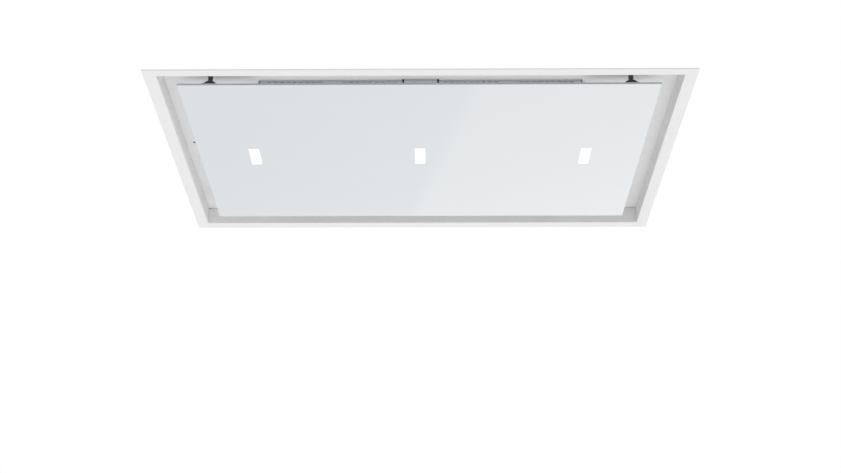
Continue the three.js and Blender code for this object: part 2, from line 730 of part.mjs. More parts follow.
function casingShell() {
  const top = casingCeiling - SEAT;
  const profile = [
    [0, casingFoot],
    [CASING_FLANGE, casingFoot],
    [CASING_FLANGE, casingFoot + CASING_SHEET],
    [CASING_SHEET, casingFoot + CASING_SHEET],
    [CASING_SHEET, top],
    [-CASING_FLANGE, top],
    [-CASING_FLANGE, top - CASING_SHEET],
    [0, top - CASING_SHEET],
  ];
  const walls = mitredRing(0, 0, casingX - CASING_SHEET, casingY - CASING_SHEET, profile);
  const outletDepth = 2 * CASING_FLANGE; // reaches well past both faces of the wall
  const outlet = turnedAlongY(ductX, casingY - outletDepth / 2, ductZ, [
    [0, 0], [DUCT_RADIUS, 0], [DUCT_RADIUS, outletDepth], [0, outletDepth],
  ]);
  return piece('casing_shell', cut(walls, outlet), MATERIALS.galvanised);
}

function casingTop() {
  const plate = sheet(0, 0, 2 * casingX, 2 * casingY, casingCeiling, casingTopZ);
  return piece('casing_top', plate, MATERIALS.galvanised);
}

function hangerBrackets() {
  const top = casingTopZ - BRACKET_DROP;
  const pieces = [];
  for (const [endName, endSide] of [['near', -1], ['far', 1]]) {
    for (const [name, side] of [['left', -1], ['right', 1]]) {
      const inner = casingX + SEAT;
      const span = (x0, x1) => (side > 0 ? [x0, x1] : [-x1, -x0]);
      const [y0, y1] = [endSide * bracketY - BRACKET_WIDTH / 2, endSide * bracketY + BRACKET_WIDTH / 2];
      const leg = block(...span(inner, inner + BRACKET_SHEET), y0, y1, top - BRACKET_LEG, top);
      const arm = block(...span(inner, inner + BRACKET_ARM), y0, y1, top - BRACKET_SHEET, top);
      const rodX = side * (inner + (BRACKET_ARM + BRACKET_SHEET) / 2);
      const rodHole = cylinder(rodX, endSide * bracketY, ROD_HOLE_RADIUS, top - BRACKET_SHEET - 1, top + 1);
      const bracket = cut(join(leg, arm), rodHole);
      pieces.push(piece(`hanger_bracket_${endName}_${name}`, bracket, MATERIALS.galvanised));
    }
  }
  return pieces;
}

// ---------------------------------------------------------------- blower

// Plan of the scroll: from the mouth's left side round the spiral to the mouth's right side.
function scrollPlan(mouth) {
  const start = THREE.MathUtils.degToRad(SCROLL_START_ANGLE);
  const points = [[BLOWER_X + SCROLL_END_RADIUS - MOUTH_WIDTH, mouth]];
  for (let i = 0; i <= SCROLL_STEPS; i += 1) {
    const share = i / SCROLL_STEPS;
    const angle = start + share * (2 * Math.PI - start);
    const radius = SCROLL_TONGUE_RADIUS + share * (SCROLL_END_RADIUS - SCROLL_TONGUE_RADIUS);
    points.push([BLOWER_X + radius * Math.cos(angle), BLOWER_Y + radius * Math.sin(angle)]);
  }
  points.push([BLOWER_X + SCROLL_END_RADIUS, mouth]);
  return points;
}

// The same line moved to its right by `distance`, with mitred corners. Its two ends slide along X.
function offsetLine(points, distance) {
  const normals = points.slice(1).map(([x, y], i) => {
    const [dx, dy] = [x - points[i][0], y - points[i][1]];
    const length = Math.hypot(dx, dy);
    return [dy / length, -dx / length];
  });
  return points.map(([x, y], i) => {
    const before = normals[i - 1];
    const after = normals[i];
    if (!before || !after) return [x + distance / (before ?? after)[0], y];
    const scale = distance / (1 + before[0] * after[0] + before[1] * after[1]);
    return [x + (before[0] + after[0]) * scale, y + (before[1] + after[1]) * scale];
  });
}

function outlineOf(points) {
  return new THREE.Shape(points.map(([x, y]) => new THREE.Vector2(x, y)));
}

const mouthY = casingY - CASING_SHEET - SEAT;

function scrollHousing() {
  const inside = scrollPlan(mouthY);
  const outside = offsetLine(inside, SCROLL_SHEET);
  const wall = extruded(outlineOf([...outside, ...inside.reverse()]), 0, 0, scrollFoot, scrollTop);
  const lid = extruded(outlineOf(outside), 0, 0, scrollTop - SCROLL_SHEET, scrollTop);
  const hole = cylinder(BLOWER_X, BLOWER_Y, MOTOR_HOLE_RADIUS, scrollTop - 5, scrollTop + 5);
  const tabTop = casingCeiling - SEAT;
  const tabs = [-1, 1].map((side) => {
    const x = BLOWER_X + side * HANGER_TAB_OFFSET;
    const [x0, x1] = [x - HANGER_TAB_WIDTH / 2, x + HANGER_TAB_WIDTH / 2];
    const web = block(x0, x1, BLOWER_Y, BLOWER_Y + SCROLL_SHEET, scrollTop - 1, tabTop);
    const foot = block(x0, x1, BLOWER_Y, BLOWER_Y + HANGER_TAB_WIDTH, tabTop - SCROLL_SHEET, tabTop);
    return join(web, foot);
  });
  return piece('scroll_housing', cut(join(wall, lid, ...tabs), hole), MATERIALS.galvanised);
}

// Bottom plate of the scroll with its rounded inlet.
function scrollCover() {
  const plan = outlineOf(offsetLine(scrollPlan(mouthY), SCROLL_SHEET));
  const plate = extruded(plan, 0, 0, scrollFloor, scrollFloor + SCROLL_SHEET);
  const holeRadius = inletRadius + INLET_WALL / 2;
  const hole = cylinder(BLOWER_X, BLOWER_Y, holeRadius, scrollFloor - 1, scrollFloor + 5, 40);
  const bell = turned(BLOWER_X, BLOWER_Y, closed([
    [inletRadius + 2 * INLET_WALL, scrollFloor],
    [inletRadius + 2 * INLET_WALL, scrollFloor + SCROLL_SHEET],
    [inletRadius + INLET_WALL, scrollFloor + SCROLL_SHEET + INLET_ROUND],
    [inletRadius + INLET_WALL, scrollFloor + INLET_RISE],
    [inletRadius, scrollFloor + INLET_RISE],
    [inletRadius, scrollFloor + INLET_ROUND],
    [inletRadius + INLET_WALL, scrollFloor],
  ]), 40);
  return piece('scroll_cover', join(cut(plate, hole), bell), MATERIALS.galvanised);
}

function impeller() {
  const foot = scrollFoot + WHEEL_GAP;
  const top = scrollTop - SCROLL_SHEET - WHEEL_GAP;
  const disc = turned(BLOWER_X, BLOWER_Y, closed([
    [SHAFT_RADIUS + SEAT, top - HUB_DROP],
    [HUB_RADIUS, top - HUB_DROP],
    [HUB_RADIUS, top - WHEEL_DISC],
    [WHEEL_RADIUS, top - WHEEL_DISC],
    [WHEEL_RADIUS, top],
    [SHAFT_RADIUS + SEAT, top],
  ]), 40);
  const ringInner = WHEEL_RADIUS - WHEEL_RING_WIDTH;
  const ring = turned(BLOWER_X, BLOWER_Y, closed([
    [ringInner, foot],
    [WHEEL_RADIUS, foot],
    [WHEEL_RADIUS, foot + WHEEL_DISC],
    [ringInner, foot + WHEEL_DISC],
  ]), 40);
  const blades = [];
  const bladeLength = WHEEL_RING_WIDTH * 0.8;
  for (let i = 0; i < BLADE_COUNT; i += 1) {
    const angle = (i / BLADE_COUNT) * 2 * Math.PI;
    const geometry = new THREE.BoxGeometry(bladeLength, BLADE_THICKNESS, top - foot - WHEEL_DISC);
    geometry.rotateZ(THREE.MathUtils.degToRad(BLADE_LEAN));
    geometry.translate(WHEEL_RADIUS - WHEEL_RING_WIDTH / 2, 0, (foot + top) / 2);
    geometry.rotateZ(angle);
    geometry.translate(BLOWER_X, BLOWER_Y, 0);
    blades.push(solid(geometry));
  }
  return piece('impeller', join(disc, ring, ...blades), MATERIALS.greyPlastic);
}

function motorPieces() {
  const pieces = [];
  for (let i = 0; i < MOUNT_COUNT; i += 1) {
    const angle = (i / MOUNT_COUNT) * 2 * Math.PI + Math.PI / 2;
    const x = BLOWER_X + MOUNT_CIRCLE * Math.cos(angle);
    const y = BLOWER_Y + MOUNT_CIRCLE * Math.sin(angle);
    const mount = cylinder(x, y, MOUNT_RADIUS, scrollTop + SEAT, scrollTop + SEAT + MOUNT_HEIGHT, 16);
    pieces.push(piece(`motor_mount_${i + 1}`, mount, MATERIALS.rubber));
  }
  const plate = turned(BLOWER_X, BLOWER_Y, closed([
    [MOTOR_HOLE_RADIUS, motorPlateFoot],
    [MOTOR_PLATE_RADIUS, motorPlateFoot],
    [MOTOR_PLATE_RADIUS, motorPlateFoot + MOTOR_PLATE],
    [MOTOR_HOLE_RADIUS, motorPlateFoot + MOTOR_PLATE],
  ]));
  const bore = SHAFT_RADIUS + RUNNING;
  const crown = motorFoot + MOTOR_HEIGHT;
  const can = turned(BLOWER_X, BLOWER_Y, [
    [0, motorFoot + MOTOR_BORE_DEPTH],
    [bore, motorFoot + MOTOR_BORE_DEPTH],
    [bore, motorFoot],
    [MOTOR_RADIUS, motorFoot],
    [MOTOR_RADIUS, crown - MOTOR_COLLAR],
    [MOTOR_RADIUS - MOTOR_COLLAR, crown],
    [0, crown],
  ]);
  const wheelTop = scrollTop - SCROLL_SHEET - WHEEL_GAP;
  const shaftFoot = wheelTop - HUB_DROP;
  const shaftTop = motorFoot + MOTOR_BORE_DEPTH - SEAT;
  const shaft = cylinder(BLOWER_X, BLOWER_Y, SHAFT_RADIUS, shaftFoot, shaftTop, 16);
  pieces.push(piece('motor_bracket', plate, MATERIALS.galvanised));
  pieces.push(piece('motor', can, MATERIALS.motorSteel));
  return { fixed: pieces, shaft: piece('motor_shaft', shaft, MATERIALS.shaftSteel) };
}

// ---------------------------------------------------------------- duct collar and flaps

function outletCollar() {
  const inner = DUCT_RADIUS - COLLAR_WALL;
  const foot = casingY + SEAT;
  const tube = turnedAlongY(ductX, foot, ductZ, closed([
    [inner, 0],
    [DUCT_RADIUS + COLLAR_FLANGE, 0],
    [DUCT_RADIUS + COLLAR_FLANGE, COLLAR_FLANGE_THICKNESS],
    [DUCT_RADIUS, COLLAR_FLANGE_THICKNESS],
    [DUCT_RADIUS, COLLAR_LENGTH],
    [inner, COLLAR_LENGTH],
  ]));
  const reach = DUCT_RADIUS + COLLAR_FLANGE;
  const holes = cylinder(ductX, flapY, SPINDLE_RADIUS + RUNNING, ductZ - reach, ductZ + reach, 16);
  return piece('outlet_collar', cut(tube, holes), MATERIALS.galvanised);
}

function flapSpindle() {
  const reach = DUCT_RADIUS + SPINDLE_OVERHANG;
  const spindle = cylinder(ductX, flapY, SPINDLE_RADIUS, ductZ - reach, ductZ + reach, 16);
  return piece('flap_spindle', spindle, MATERIALS.shaftSteel);
}

// Half disc with two knuckles round the upright spindle. The two flaps' knuckles alternate along it.
function flap(side, name) {
  const radius = DUCT_RADIUS - COLLAR_WALL - SWEEP;
  const disc = turnedAlongY(ductX, flapY - FLAP_THICKNESS / 2, ductZ, [
    [0, 0], [radius, 0], [radius, FLAP_THICKNESS], [0, FLAP_THICKNESS],
  ]);
  const clear = FLAP_KNUCKLE_RADIUS + RUNNING;
  const other = side > 0 ? [-radius - 1, clear] : [-clear, radius + 1];
  const [x0, x1] = [ductX + other[0], ductX + other[1]];
  const otherHalf = block(x0, x1, flapY - 5, flapY + 5, ductZ - radius - 1, ductZ + radius + 1);
  const half = cut(disc, otherHalf);
  const start = side > 0 ? 0 : 1;
  const pitch = FLAP_KNUCKLE_LENGTH + RUNNING;
  const knuckles = [];
  for (const step of [-2 + start, start]) {
    const z0 = ductZ + step * pitch + RUNNING / 2;
    const web = block(
      ductX + (side > 0 ? 0 : -clear - 1), ductX + (side > 0 ? clear + 1 : 0),
      flapY - FLAP_THICKNESS / 2, flapY + FLAP_THICKNESS / 2, z0, z0 + FLAP_KNUCKLE_LENGTH,
    );
    knuckles.push(web, cylinder(ductX, flapY, FLAP_KNUCKLE_RADIUS, z0, z0 + FLAP_KNUCKLE_LENGTH, 16));
  }
  const bore = cylinder(ductX, flapY, SPINDLE_RADIUS + RUNNING, ductZ - radius, ductZ + radius, 16);
  return piece(`flap_${name}`, cut(join(half, ...knuckles), bore), MATERIALS.greyPlastic);
}

// ---------------------------------------------------------------- electrics

function electrics() {
  const right = -(casingX + CASING_FLANGE + CONTROL_GAP);
  const left = right - CONTROL_LENGTH;
  const half = CONTROL_WIDTH / 2;
  const foot = deckTop + SEAT;
  const top = foot + CONTROL_HEIGHT;
  const wall = CONTROL_WALL;
  const glandX = (left + right) / 2;
  const glandZ = foot + CONTROL_HEIGHT / 2;
  const glandHole = turnedAlongY(glandX, -half - 5, glandZ, [
    [0, 0], [GLAND_THREAD_RADIUS + SEAT, 0], [GLAND_THREAD_RADIUS + SEAT, 10], [0, 10],
  ], 20);
  const lensHole = cylinder(receiverX, RECEIVER_Y, BEZEL_RADIUS, foot - 1, foot + wall + 1, 20);
  const box = cut(
    block(left, right, -half, half, foot, top),
    block(left + wall, right - wall, -half + wall, half - wall, foot + wall, top + 1),
    glandHole,
    lensHole,
  );

  const lidFoot = top + SEAT;
  const shoulder = wall + SEAT;
  const lidHalf = half + shoulder;
  const lid = cut(
    block(left - shoulder, right + shoulder, -lidHalf, lidHalf, top - LID_LIP, lidFoot + wall),
    block(left - SEAT, right + SEAT, -half - SEAT, half + SEAT, top - LID_LIP - 1, lidFoot),
  );

  const boardFoot = foot + wall + SEAT + BOARD_STANDOFF;
  const boardPlate = block(
    left + BOARD_MARGIN, right - BOARD_MARGIN, -half + 3 * BOARD_MARGIN, half - BOARD_MARGIN,
    boardFoot, boardFoot + BOARD_THICKNESS,
  );
  const posts = [];
  for (const x of [left + 2 * BOARD_MARGIN, right - 2 * BOARD_MARGIN]) {
    for (const y of [-half + 4 * BOARD_MARGIN, half - 2 * BOARD_MARGIN]) {
      posts.push(cylinder(x, y, BOARD_POST_RADIUS, foot + wall + SEAT, boardFoot + 0.5, 12));
    }
  }
  const board = join(boardPlate, ...posts);

  const boardTop = boardFoot + BOARD_THICKNESS + SEAT;
  const terminalY = -half + 4 * BOARD_MARGIN;
  const terminalBody = block(
    glandX - TERMINAL_LENGTH / 2, glandX + TERMINAL_LENGTH / 2,
    terminalY - TERMINAL_DEPTH / 2, terminalY + TERMINAL_DEPTH / 2,
    boardTop, boardTop + TERMINAL_HEIGHT,
  );
  const terminalTop = boardTop + TERMINAL_HEIGHT;
  const pitch = TERMINAL_LENGTH / TERMINAL_WAYS;
  const screws = [];
  for (let i = 0; i < TERMINAL_WAYS; i += 1) {
    const x = glandX + (i - (TERMINAL_WAYS - 1) / 2) * pitch;
    const screwFoot = terminalTop - TERMINAL_SCREW_DEPTH;
    screws.push(cylinder(x, terminalY, TERMINAL_SCREW_RADIUS, screwFoot, terminalTop + 1, 12));
  }

  const gland = turnedAlongY(glandX, -half - GLAND_LENGTH, glandZ, closed([
    [GLAND_BORE, 0],
    [GLAND_RADIUS - GLAND_NUT_TAPER, 0],
    [GLAND_RADIUS, GLAND_NUT_LENGTH],
    [GLAND_RADIUS, GLAND_LENGTH - SEAT],
    [GLAND_THREAD_RADIUS, GLAND_LENGTH - SEAT],
    [GLAND_THREAD_RADIUS, GLAND_LENGTH + wall + GLAND_NUT_LENGTH],
    [GLAND_BORE, GLAND_LENGTH + wall + GLAND_NUT_LENGTH],
  ]), 20);

  const driverX = casingX + CASING_FLANGE + CONTROL_GAP + DRIVER_LENGTH / 2;
  const driver = join(
    sheet(driverX, 0, DRIVER_LENGTH, DRIVER_WIDTH, foot, foot + DRIVER_HEIGHT),
    sheet(driverX, 0, DRIVER_LENGTH, DRIVER_WIDTH + 2 * DRIVER_TAB, foot, foot + DRIVER_TAB_THICKNESS),
  );
  return [
    piece('control_box', box, MATERIALS.greyPlastic),
    piece('control_box_lid', lid, MATERIALS.greyPlastic),
    piece('control_board', board, MATERIALS.board),
    piece('terminal_block', cut(terminalBody, ...screws), MATERIALS.whitePlastic),
    piece('cable_gland', gland, MATERIALS.blackPlastic),
    piece('led_driver', driver, MATERIALS.whitePlastic),
  ];
}

// ---------------------------------------------------------------- assembly

const hood = new THREE.Group();
const panel = new THREE.Group();
const rotor = new THREE.Group();
const sides = [['left', -1], ['right', 1]];

hood.add(trimFrame(), deckPlate(), ...receiver(), filterBridge());
panel.add(glassPanel(), panelFrame());
for (const place of lampPlaces()) {
  panel.add(...lamp(place));
}
for (const [name, side] of sides) {
  hood.add(filterFrame(side, name), filterMesh(side, name), filterRail(side, name));
  hood.add(latchHousing(side, name), filterLatch(side, name), catchSocket(side, name));
  panel.add(catchStud(side, name));
  const hinge = hingeSide(side, name);
  hood.add(...hinge.fixed);
  panel.add(...hinge.moving);
}

const motorSet = motorPieces();
hood.add(casingShell(), casingTop(), ...hangerBrackets());
hood.add(scrollHousing(), scrollCover(), ...motorSet.fixed);
rotor.add(impeller(), motorSet.shaft);
hood.add(outletCollar(), flapSpindle(), flap(-1, 'left'), flap(1, 'right'));
hood.add(...electrics());
hood.add(panel, rotor);

export default hood;
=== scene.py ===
"""Flush ceiling range hood, dressed for its looks. Shapes are written in millimetres and built in metres.

+X runs along the long side, +Y towards the panel's hinges, +Z up into the ceiling.
"""
import math

import bmesh
import bpy
from mathutils import Matrix, Vector
from mathutils.geometry import tessellate_polygon

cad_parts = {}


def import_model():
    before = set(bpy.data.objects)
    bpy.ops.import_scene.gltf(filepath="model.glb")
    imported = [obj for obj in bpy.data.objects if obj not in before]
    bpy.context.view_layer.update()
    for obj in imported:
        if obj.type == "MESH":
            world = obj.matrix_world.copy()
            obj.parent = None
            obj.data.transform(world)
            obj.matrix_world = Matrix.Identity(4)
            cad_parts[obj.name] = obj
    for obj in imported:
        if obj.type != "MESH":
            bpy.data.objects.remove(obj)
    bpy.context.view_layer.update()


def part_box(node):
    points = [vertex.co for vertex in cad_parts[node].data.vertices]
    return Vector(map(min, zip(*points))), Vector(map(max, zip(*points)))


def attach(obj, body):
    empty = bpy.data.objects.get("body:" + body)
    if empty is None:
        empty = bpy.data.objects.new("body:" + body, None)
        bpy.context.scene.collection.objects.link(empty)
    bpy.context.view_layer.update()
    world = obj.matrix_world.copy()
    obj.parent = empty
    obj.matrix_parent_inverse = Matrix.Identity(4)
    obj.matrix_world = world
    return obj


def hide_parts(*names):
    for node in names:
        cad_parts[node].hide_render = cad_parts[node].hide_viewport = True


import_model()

MM = 0.001
SIDES = (("left", -1), ("right", 1))
LAMPS = ("left", "centre", "right")
HOUSING, PANEL, ROTOR = "housing", "panel", "rotor"

LATCH_FOOT = 1.5  # underside of the filter up to the latch plate
WINDOW_X, WINDOW_Y = 10.5, 34.5  # half sizes of the lamp windows

# These stand a flat shape up: its height comes to lie along Y, or along X
ALONG_Y = Matrix(((1, 0, 0, 0), (0, 0, 1, 0), (0, 1, 0, 0), (0, 0, 0, 1)))
ALONG_X = Matrix(((0, 0, 1, 0), (1, 0, 0, 0), (0, 1, 0, 0), (0, 0, 0, 1)))


def box(node):
    """A node's lowest and highest corners in millimetres, as x0, x1, y0, y1, z0, z1."""
    lo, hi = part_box(node)
    return [v / MM for pair in zip(lo, hi) for v in pair]


def centre(node):
    """The middle of a node's box in millimetres."""
    x0, x1, y0, y1, z0, z1 = box(node)
    return (x0 + x1) / 2, (y0 + y1) / 2, (z0 + z1) / 2


def mirrored(side, a, b):
    """The stretch from a to b, or its mirror image where side is -1, lowest end first."""
    return sorted((side * a, side * b))


# ---------------------------------------------------------------- outlines

def circle(x, y, radius, count=24):
    angles = [2 * math.pi * i / count for i in range(count)]
    return [(x + radius * math.cos(a), y + radius * math.sin(a)) for a in angles]


def rounded(x0, x1, y0, y1, radius, steps=4):
    """Rectangle with rounded corners, counterclockwise."""
    points = []
    corners = ((x1 - radius, y0 + radius, -90), (x1 - radius, y1 - radius, 0),
               (x0 + radius, y1 - radius, 90), (x0 + radius, y0 + radius, 180))
    for cx, cy, first in corners:
        for i in range(steps + 1):
            angle = math.radians(first + 90 * i / steps)
            points.append((cx + radius * math.cos(angle), cy + radius * math.sin(angle)))
    return points


def slot_outline(x, y, length, width, steps=4):
    radius = min(length, width) / 2 * 0.999
    return rounded(x - length / 2, x + length / 2, y - width / 2, y + width / 2, radius, steps)


def area(loop):
    return sum(ax * by - bx * ay for (ax, ay), (bx, by) in zip(loop, loop[1:] + loop[:1])) / 2


def unit(x, y):
    length = math.hypot(x, y) or 1.0
    return x / length, y / length


def mitres(points, closed):
    """For each point, the vector that moves it one unit to the right of the line, corners kept sharp."""
    count = len(points)
    out = []
    for i, (x, y) in enumerate(points):
        before = after = None
        if closed or i > 0:
            px, py = points[i - 1]
            dx, dy = unit(x - px, y - py)
            before = (dy, -dx)
        if closed or i < count - 1:
            nx, ny = points[(i + 1) % count]
            dx, dy = unit(nx - x, ny - y)
            after = (dy, -dx)
        before, after = before or after, after or before
        scale = 1 / max(0.2, 1 + before[0] * after[0] + before[1] * after[1])
        out.append(((before[0] + after[0]) * scale, (before[1] + after[1]) * scale))
    return out


def moved(points, distance, closed=True):
    return [(x + mx * distance, y + my * distance)
            for (x, y), (mx, my) in zip(points, mitres(points, closed))]


def filleted(points, radius, steps=3, closed=False):
    """The line with its corners rounded."""
    out = []
    count = len(points)
    for i, p in enumerate(points):
        if not closed and i in (0, count - 1):
            out.append(p)
            continue
        a, b = points[i - 1], points[(i + 1) % count]
        u, v = unit(a[0] - p[0], a[1] - p[1]), unit(b[0] - p[0], b[1] - p[1])
        half = math.acos(max(-1.0, min(1.0, u[0] * v[0] + u[1] * v[1]))) / 2
        room = 0.49 * min(math.dist(a, p), math.dist(b, p))
        r = min(radius, room * math.tan(half))
        m = unit(u[0] + v[0], u[1] + v[1])
        cx, cy = p[0] + m[0] * r / math.sin(half), p[1] + m[1] * r / math.sin(half)
        reach = r / math.tan(half)
        start = math.atan2(p[1] + u[1] * reach - cy, p[0] + u[0] * reach - cx)
        end = math.atan2(p[1] + v[1] * reach - cy, p[0] + v[0] * reach - cx)
        turn = (end - start + math.pi) % (2 * math.pi) - math.pi
        for k in range(steps + 1):
            angle = start + turn * k / steps
            out.append((cx + r * math.cos(angle), cy + r * math.sin(angle)))
    return out


def folded(points, thickness, radius, steps=3):
    """Section of a sheet folded along a line: its middle line is given."""
    line = filleted(points, radius, steps)
    return moved(line, thickness / 2, False) + moved(line, -thickness / 2, False)[::-1]


# ---------------------------------------------------------------- solids: (points, faces, side faces)

def capped(loops):
    """Triangles that fill an outline with holes."""
    return [tuple(t) for t in tessellate_polygon([[Vector((x, y, 0)) for x, y in loop] for loop in loops])]


def plate(outline, holes=(), z0=0.0, z1=1.0, edge=0.2, steps=2):
    """Flat plate with holes and rounded edges."""
    loops = [outline if area(outline) > 0 else outline[::-1]]
    loops += [hole[::-1] if area(hole) > 0 else hole for hole in holes]
    edge = min(edge, (z1 - z0) * 0.49)
    levels = []
    for k in range(steps + 1):
        angle = math.pi / 2 * k / steps
        levels.append((edge * (1 - math.sin(angle)), edge * (1 - math.cos(angle))))
    rows = [(inset, z0 + rise) for inset, rise in levels]
    rows += [(inset, z1 - rise) for inset, rise in reversed(levels)]
    points, faces, sides = [], [], []
    ends = [[], []]
    for loop in loops:
        count = len(loop)
        start = len(points)
        for inset, z in rows:
            points += [(x, y, z) for x, y in moved(loop, -inset)]
        for row in range(len(rows) - 1):
            for i in range(count):
                j = (i + 1) % count
                a, b = start + row * count, start + (row + 1) * count
                sides.append(len(faces))
                faces.append((a + i, a + j, b + j, b + i))
        ends[0].append([start + i for i in range(count)])
        ends[1].append([start + (len(rows) - 1) * count + i for i in range(count)])
    triangles = capped([moved(loop, -rows[0][0]) for loop in loops])
    for group in ends:
        flat = [i for ring in group for i in ring]
        faces += [tuple(flat[i] for i in t) for t in triangles]
    return points, faces, sides


def bar(x0, x1, y0, y1, z0, z1, edge=0.5, corner=None, steps=2):
    """Block with rounded edges."""
    corner = edge if corner is None else corner
    return plate(rounded(x0, x1, y0, y1, corner, 3), (), z0, z1, edge, steps)


def band(rows, count):
    """Faces between rings of points, with the last ring joined to the first."""
    faces = []
    for row in range(rows):
        following = (row + 1) % rows
        for i in range(count):
            j = (i + 1) % count
            faces.append((row * count + i, row * count + j, following * count + j, following * count + i))
    return faces


def ring(path, section):
    """A closed section of (outset, height) points carried round a closed path."""
    out = mitres(path, True)
    points = [(x + mx * o, y + my * o, z) for (x, y), (mx, my) in zip(path, out) for o, z in section]
    faces = band(len(path), len(section))
    return points, faces, range(len(faces))


def rectangle(x0, x1, y0, y1):
    return [(x0, y0), (x1, y0), (x1, y1), (x0, y1)]


def lathe(profile, count=40, closed=False):
    """(radius, height) points turned round Z. A point on the axis closes its end."""
    points, rows, faces = [], [], []
    for radius, z in profile:
        if radius < 1e-6:
            rows.append([len(points)] * count)
            points.append((0, 0, z))
        else:
            rows.append([len(points) + i for i in range(count)])
            angles = [2 * math.pi * i / count for i in range(count)]
            points += [(radius * math.cos(a), radius * math.sin(a), z) for a in angles]
    pairs = list(zip(rows, rows[1:]))
    if closed:
        pairs.append((rows[-1], rows[0]))
    for low, high in pairs:
        for i in range(count):
            j = (i + 1) % count
            face = []
            for index in (low[i], low[j], high[j], high[i]):
                if index not in face:
                    face.append(index)
            if len(face) > 2:
                faces.append(tuple(face))
    return points, faces, range(len(faces))


def rod(radius, z0, z1, count=24):
    """Plain cylinder on Z."""
    return lathe([(0, z0), (radius, z0), (radius, z1), (0, z1)], count)


def bevelled(inner, outer, z0, z1, bevel=0.4):
    """Profile of a ring, or of a disc where inner is 0, with its outer edges broken."""
    return [(inner, z0), (outer - bevel, z0), (outer, z0 + bevel), (outer, z1 - bevel), (outer - bevel, z1),
            (inner, z1)]


def dome(length, width, height, steps=4):
    """Pressed bead: a long rounded swelling on a sheet."""
    return plate(slot_outline(0, 0, length, width, 5), (), -0.2, height, height, steps)


def groove(x, y, length, width, depth, z, sheet=1.0, steps=5):
    """Pressed bead that goes down into a sheet whose upper face is at z."""
    outline = slot_outline(0, 0, length, width, 6)
    loops = []
    for k in range(steps + 1):
        reach = k / steps
        loops.append((moved(outline, -reach * (width / 2 - 0.05)), z - depth * math.sin(math.pi / 2 * reach)))
    count = len(outline)
    points = [(x + px, y + py, level) for loop, level in loops for px, py in loop]
    points += [(x + px, y + py, level - sheet) for loop, level in reversed(loops) for px, py in loop]
    return points, band(2 * (steps + 1), count), ()


def cross(size, arm):
    """Outline of a cross recess."""
    points = [(size, -arm), (size, arm), (arm, arm)]
    for _ in range(3):
        points += [(-y, x) for x, y in points[-3:]]
    return points


def pan_screw(radius, height):
    """Head with a cross recess, seated at zero."""
    head = plate(circle(0, 0, radius, 20), [cross(radius * 0.55, radius * 0.14)], 0, height, height * 0.55, 3)
    floor = plate(circle(0, 0, radius * 0.7, 12), (), 0, height * 0.3, 0.05, 1)
    return joined(head, floor)


def hex_bolt(radius, height, washer):
    """Hexagon head, its radius measured to the corners, on a round washer."""
    head = plate(circle(0, 0, radius, 6), (), 1.0, height, 0.5, 2)
    disc = plate(circle(0, 0, washer, 24), (), 0, 1.0, 0.2, 1)
    return joined(head, disc)


def rivet(radius, height):
    profile = [(0, height)]
    for k in range(1, 5):
        angle = math.pi / 2 * k / 4
        profile.append((radius * math.sin(angle), height * math.cos(angle)))
    return lathe(profile + [(radius, -0.2), (0, -0.2)], 16)


def joined(*parts):
    points, faces, sides = [], [], []
    for part in parts:
        start, first = len(points), len(faces)
        points += list(part[0])
        faces += [tuple(start + i for i in face) for face in part[1]]
        sides += [first + i for i in part[2]]
    return points, faces, sides


def placed(part, matrix):
    return [tuple(matrix @ Vector(p)) for p in part[0]], part[1], part[2]


def at(x, y, z):
    return Matrix.Translation((x, y, z))


def towards(direction, x=0.0, y=0.0, z=0.0, up=(0, 0, 1)):
    """Turns a shape's Z to `direction` and its Y as near `up` as it goes, and moves its zero to (x, y, z)."""
    out = Vector(direction).normalized()
    across = Vector(up).cross(out)
    if across.length < 1e-6:
        across = Vector((1, 0, 0))
    across.normalize()
    turned = Matrix((across, out.cross(across), out)).transposed().to_4x4()
    return Matrix.Translation((x, y, z)) @ turned


# ---------------------------------------------------------------- pieces

def mesh_of(part, name):
    mesh = bpy.data.meshes.new(name)
    mesh.from_pydata([(x * MM, y * MM, z * MM) for x, y, z in part[0]], [], [list(f) for f in part[1]])
    work = bmesh.new()
    work.from_mesh(mesh)
    bmesh.ops.recalc_face_normals(work, faces=work.faces)
    work.to_mesh(mesh)
    work.free()
    return mesh


class Shape:
    """Gathers the solids of one piece, with a material number for each."""

    def __init__(self):
        self.points, self.faces, self.marks = [], [], []

    def add(self, part, mark=0, side_mark=None, move=None):
        if move is not None:
            part = placed(part, move)
        start = len(self.points)
        self.points += list(part[0])
        self.faces += [tuple(start + i for i in face) for face in part[1]]
        marks = [mark] * len(part[1])
        if side_mark is not None:
            for i in part[2]:
                marks[i] = side_mark
        self.marks += marks
        return self

    def piece(self, name, materials, node=None, body=HOUSING, carve=(), smooth=32):
        """Makes the object, sets it on the body that it rides on and hides the node it stands for.

        materials holds the names for marks 0, 1 and so on.
        """
        names = materials.split()
        mesh = mesh_of((self.points, self.faces, ()), name)
        for entry in names:
            mesh.materials.append(MATERIALS[entry])
        mesh.polygons.foreach_set("material_index", self.marks)
        made = bpy.data.objects.new(name, mesh)
        bpy.context.scene.collection.objects.link(made)
        if carve:
            carved(made, joined(*carve))
        made.data.shade_smooth()
        made.data.set_sharp_from_angle(angle=math.radians(smooth))
        weigh = made.modifiers.new("weigh", "WEIGHTED_NORMAL")
        weigh.keep_sharp = True
        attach(made, body)
        if node:
            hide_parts(node)


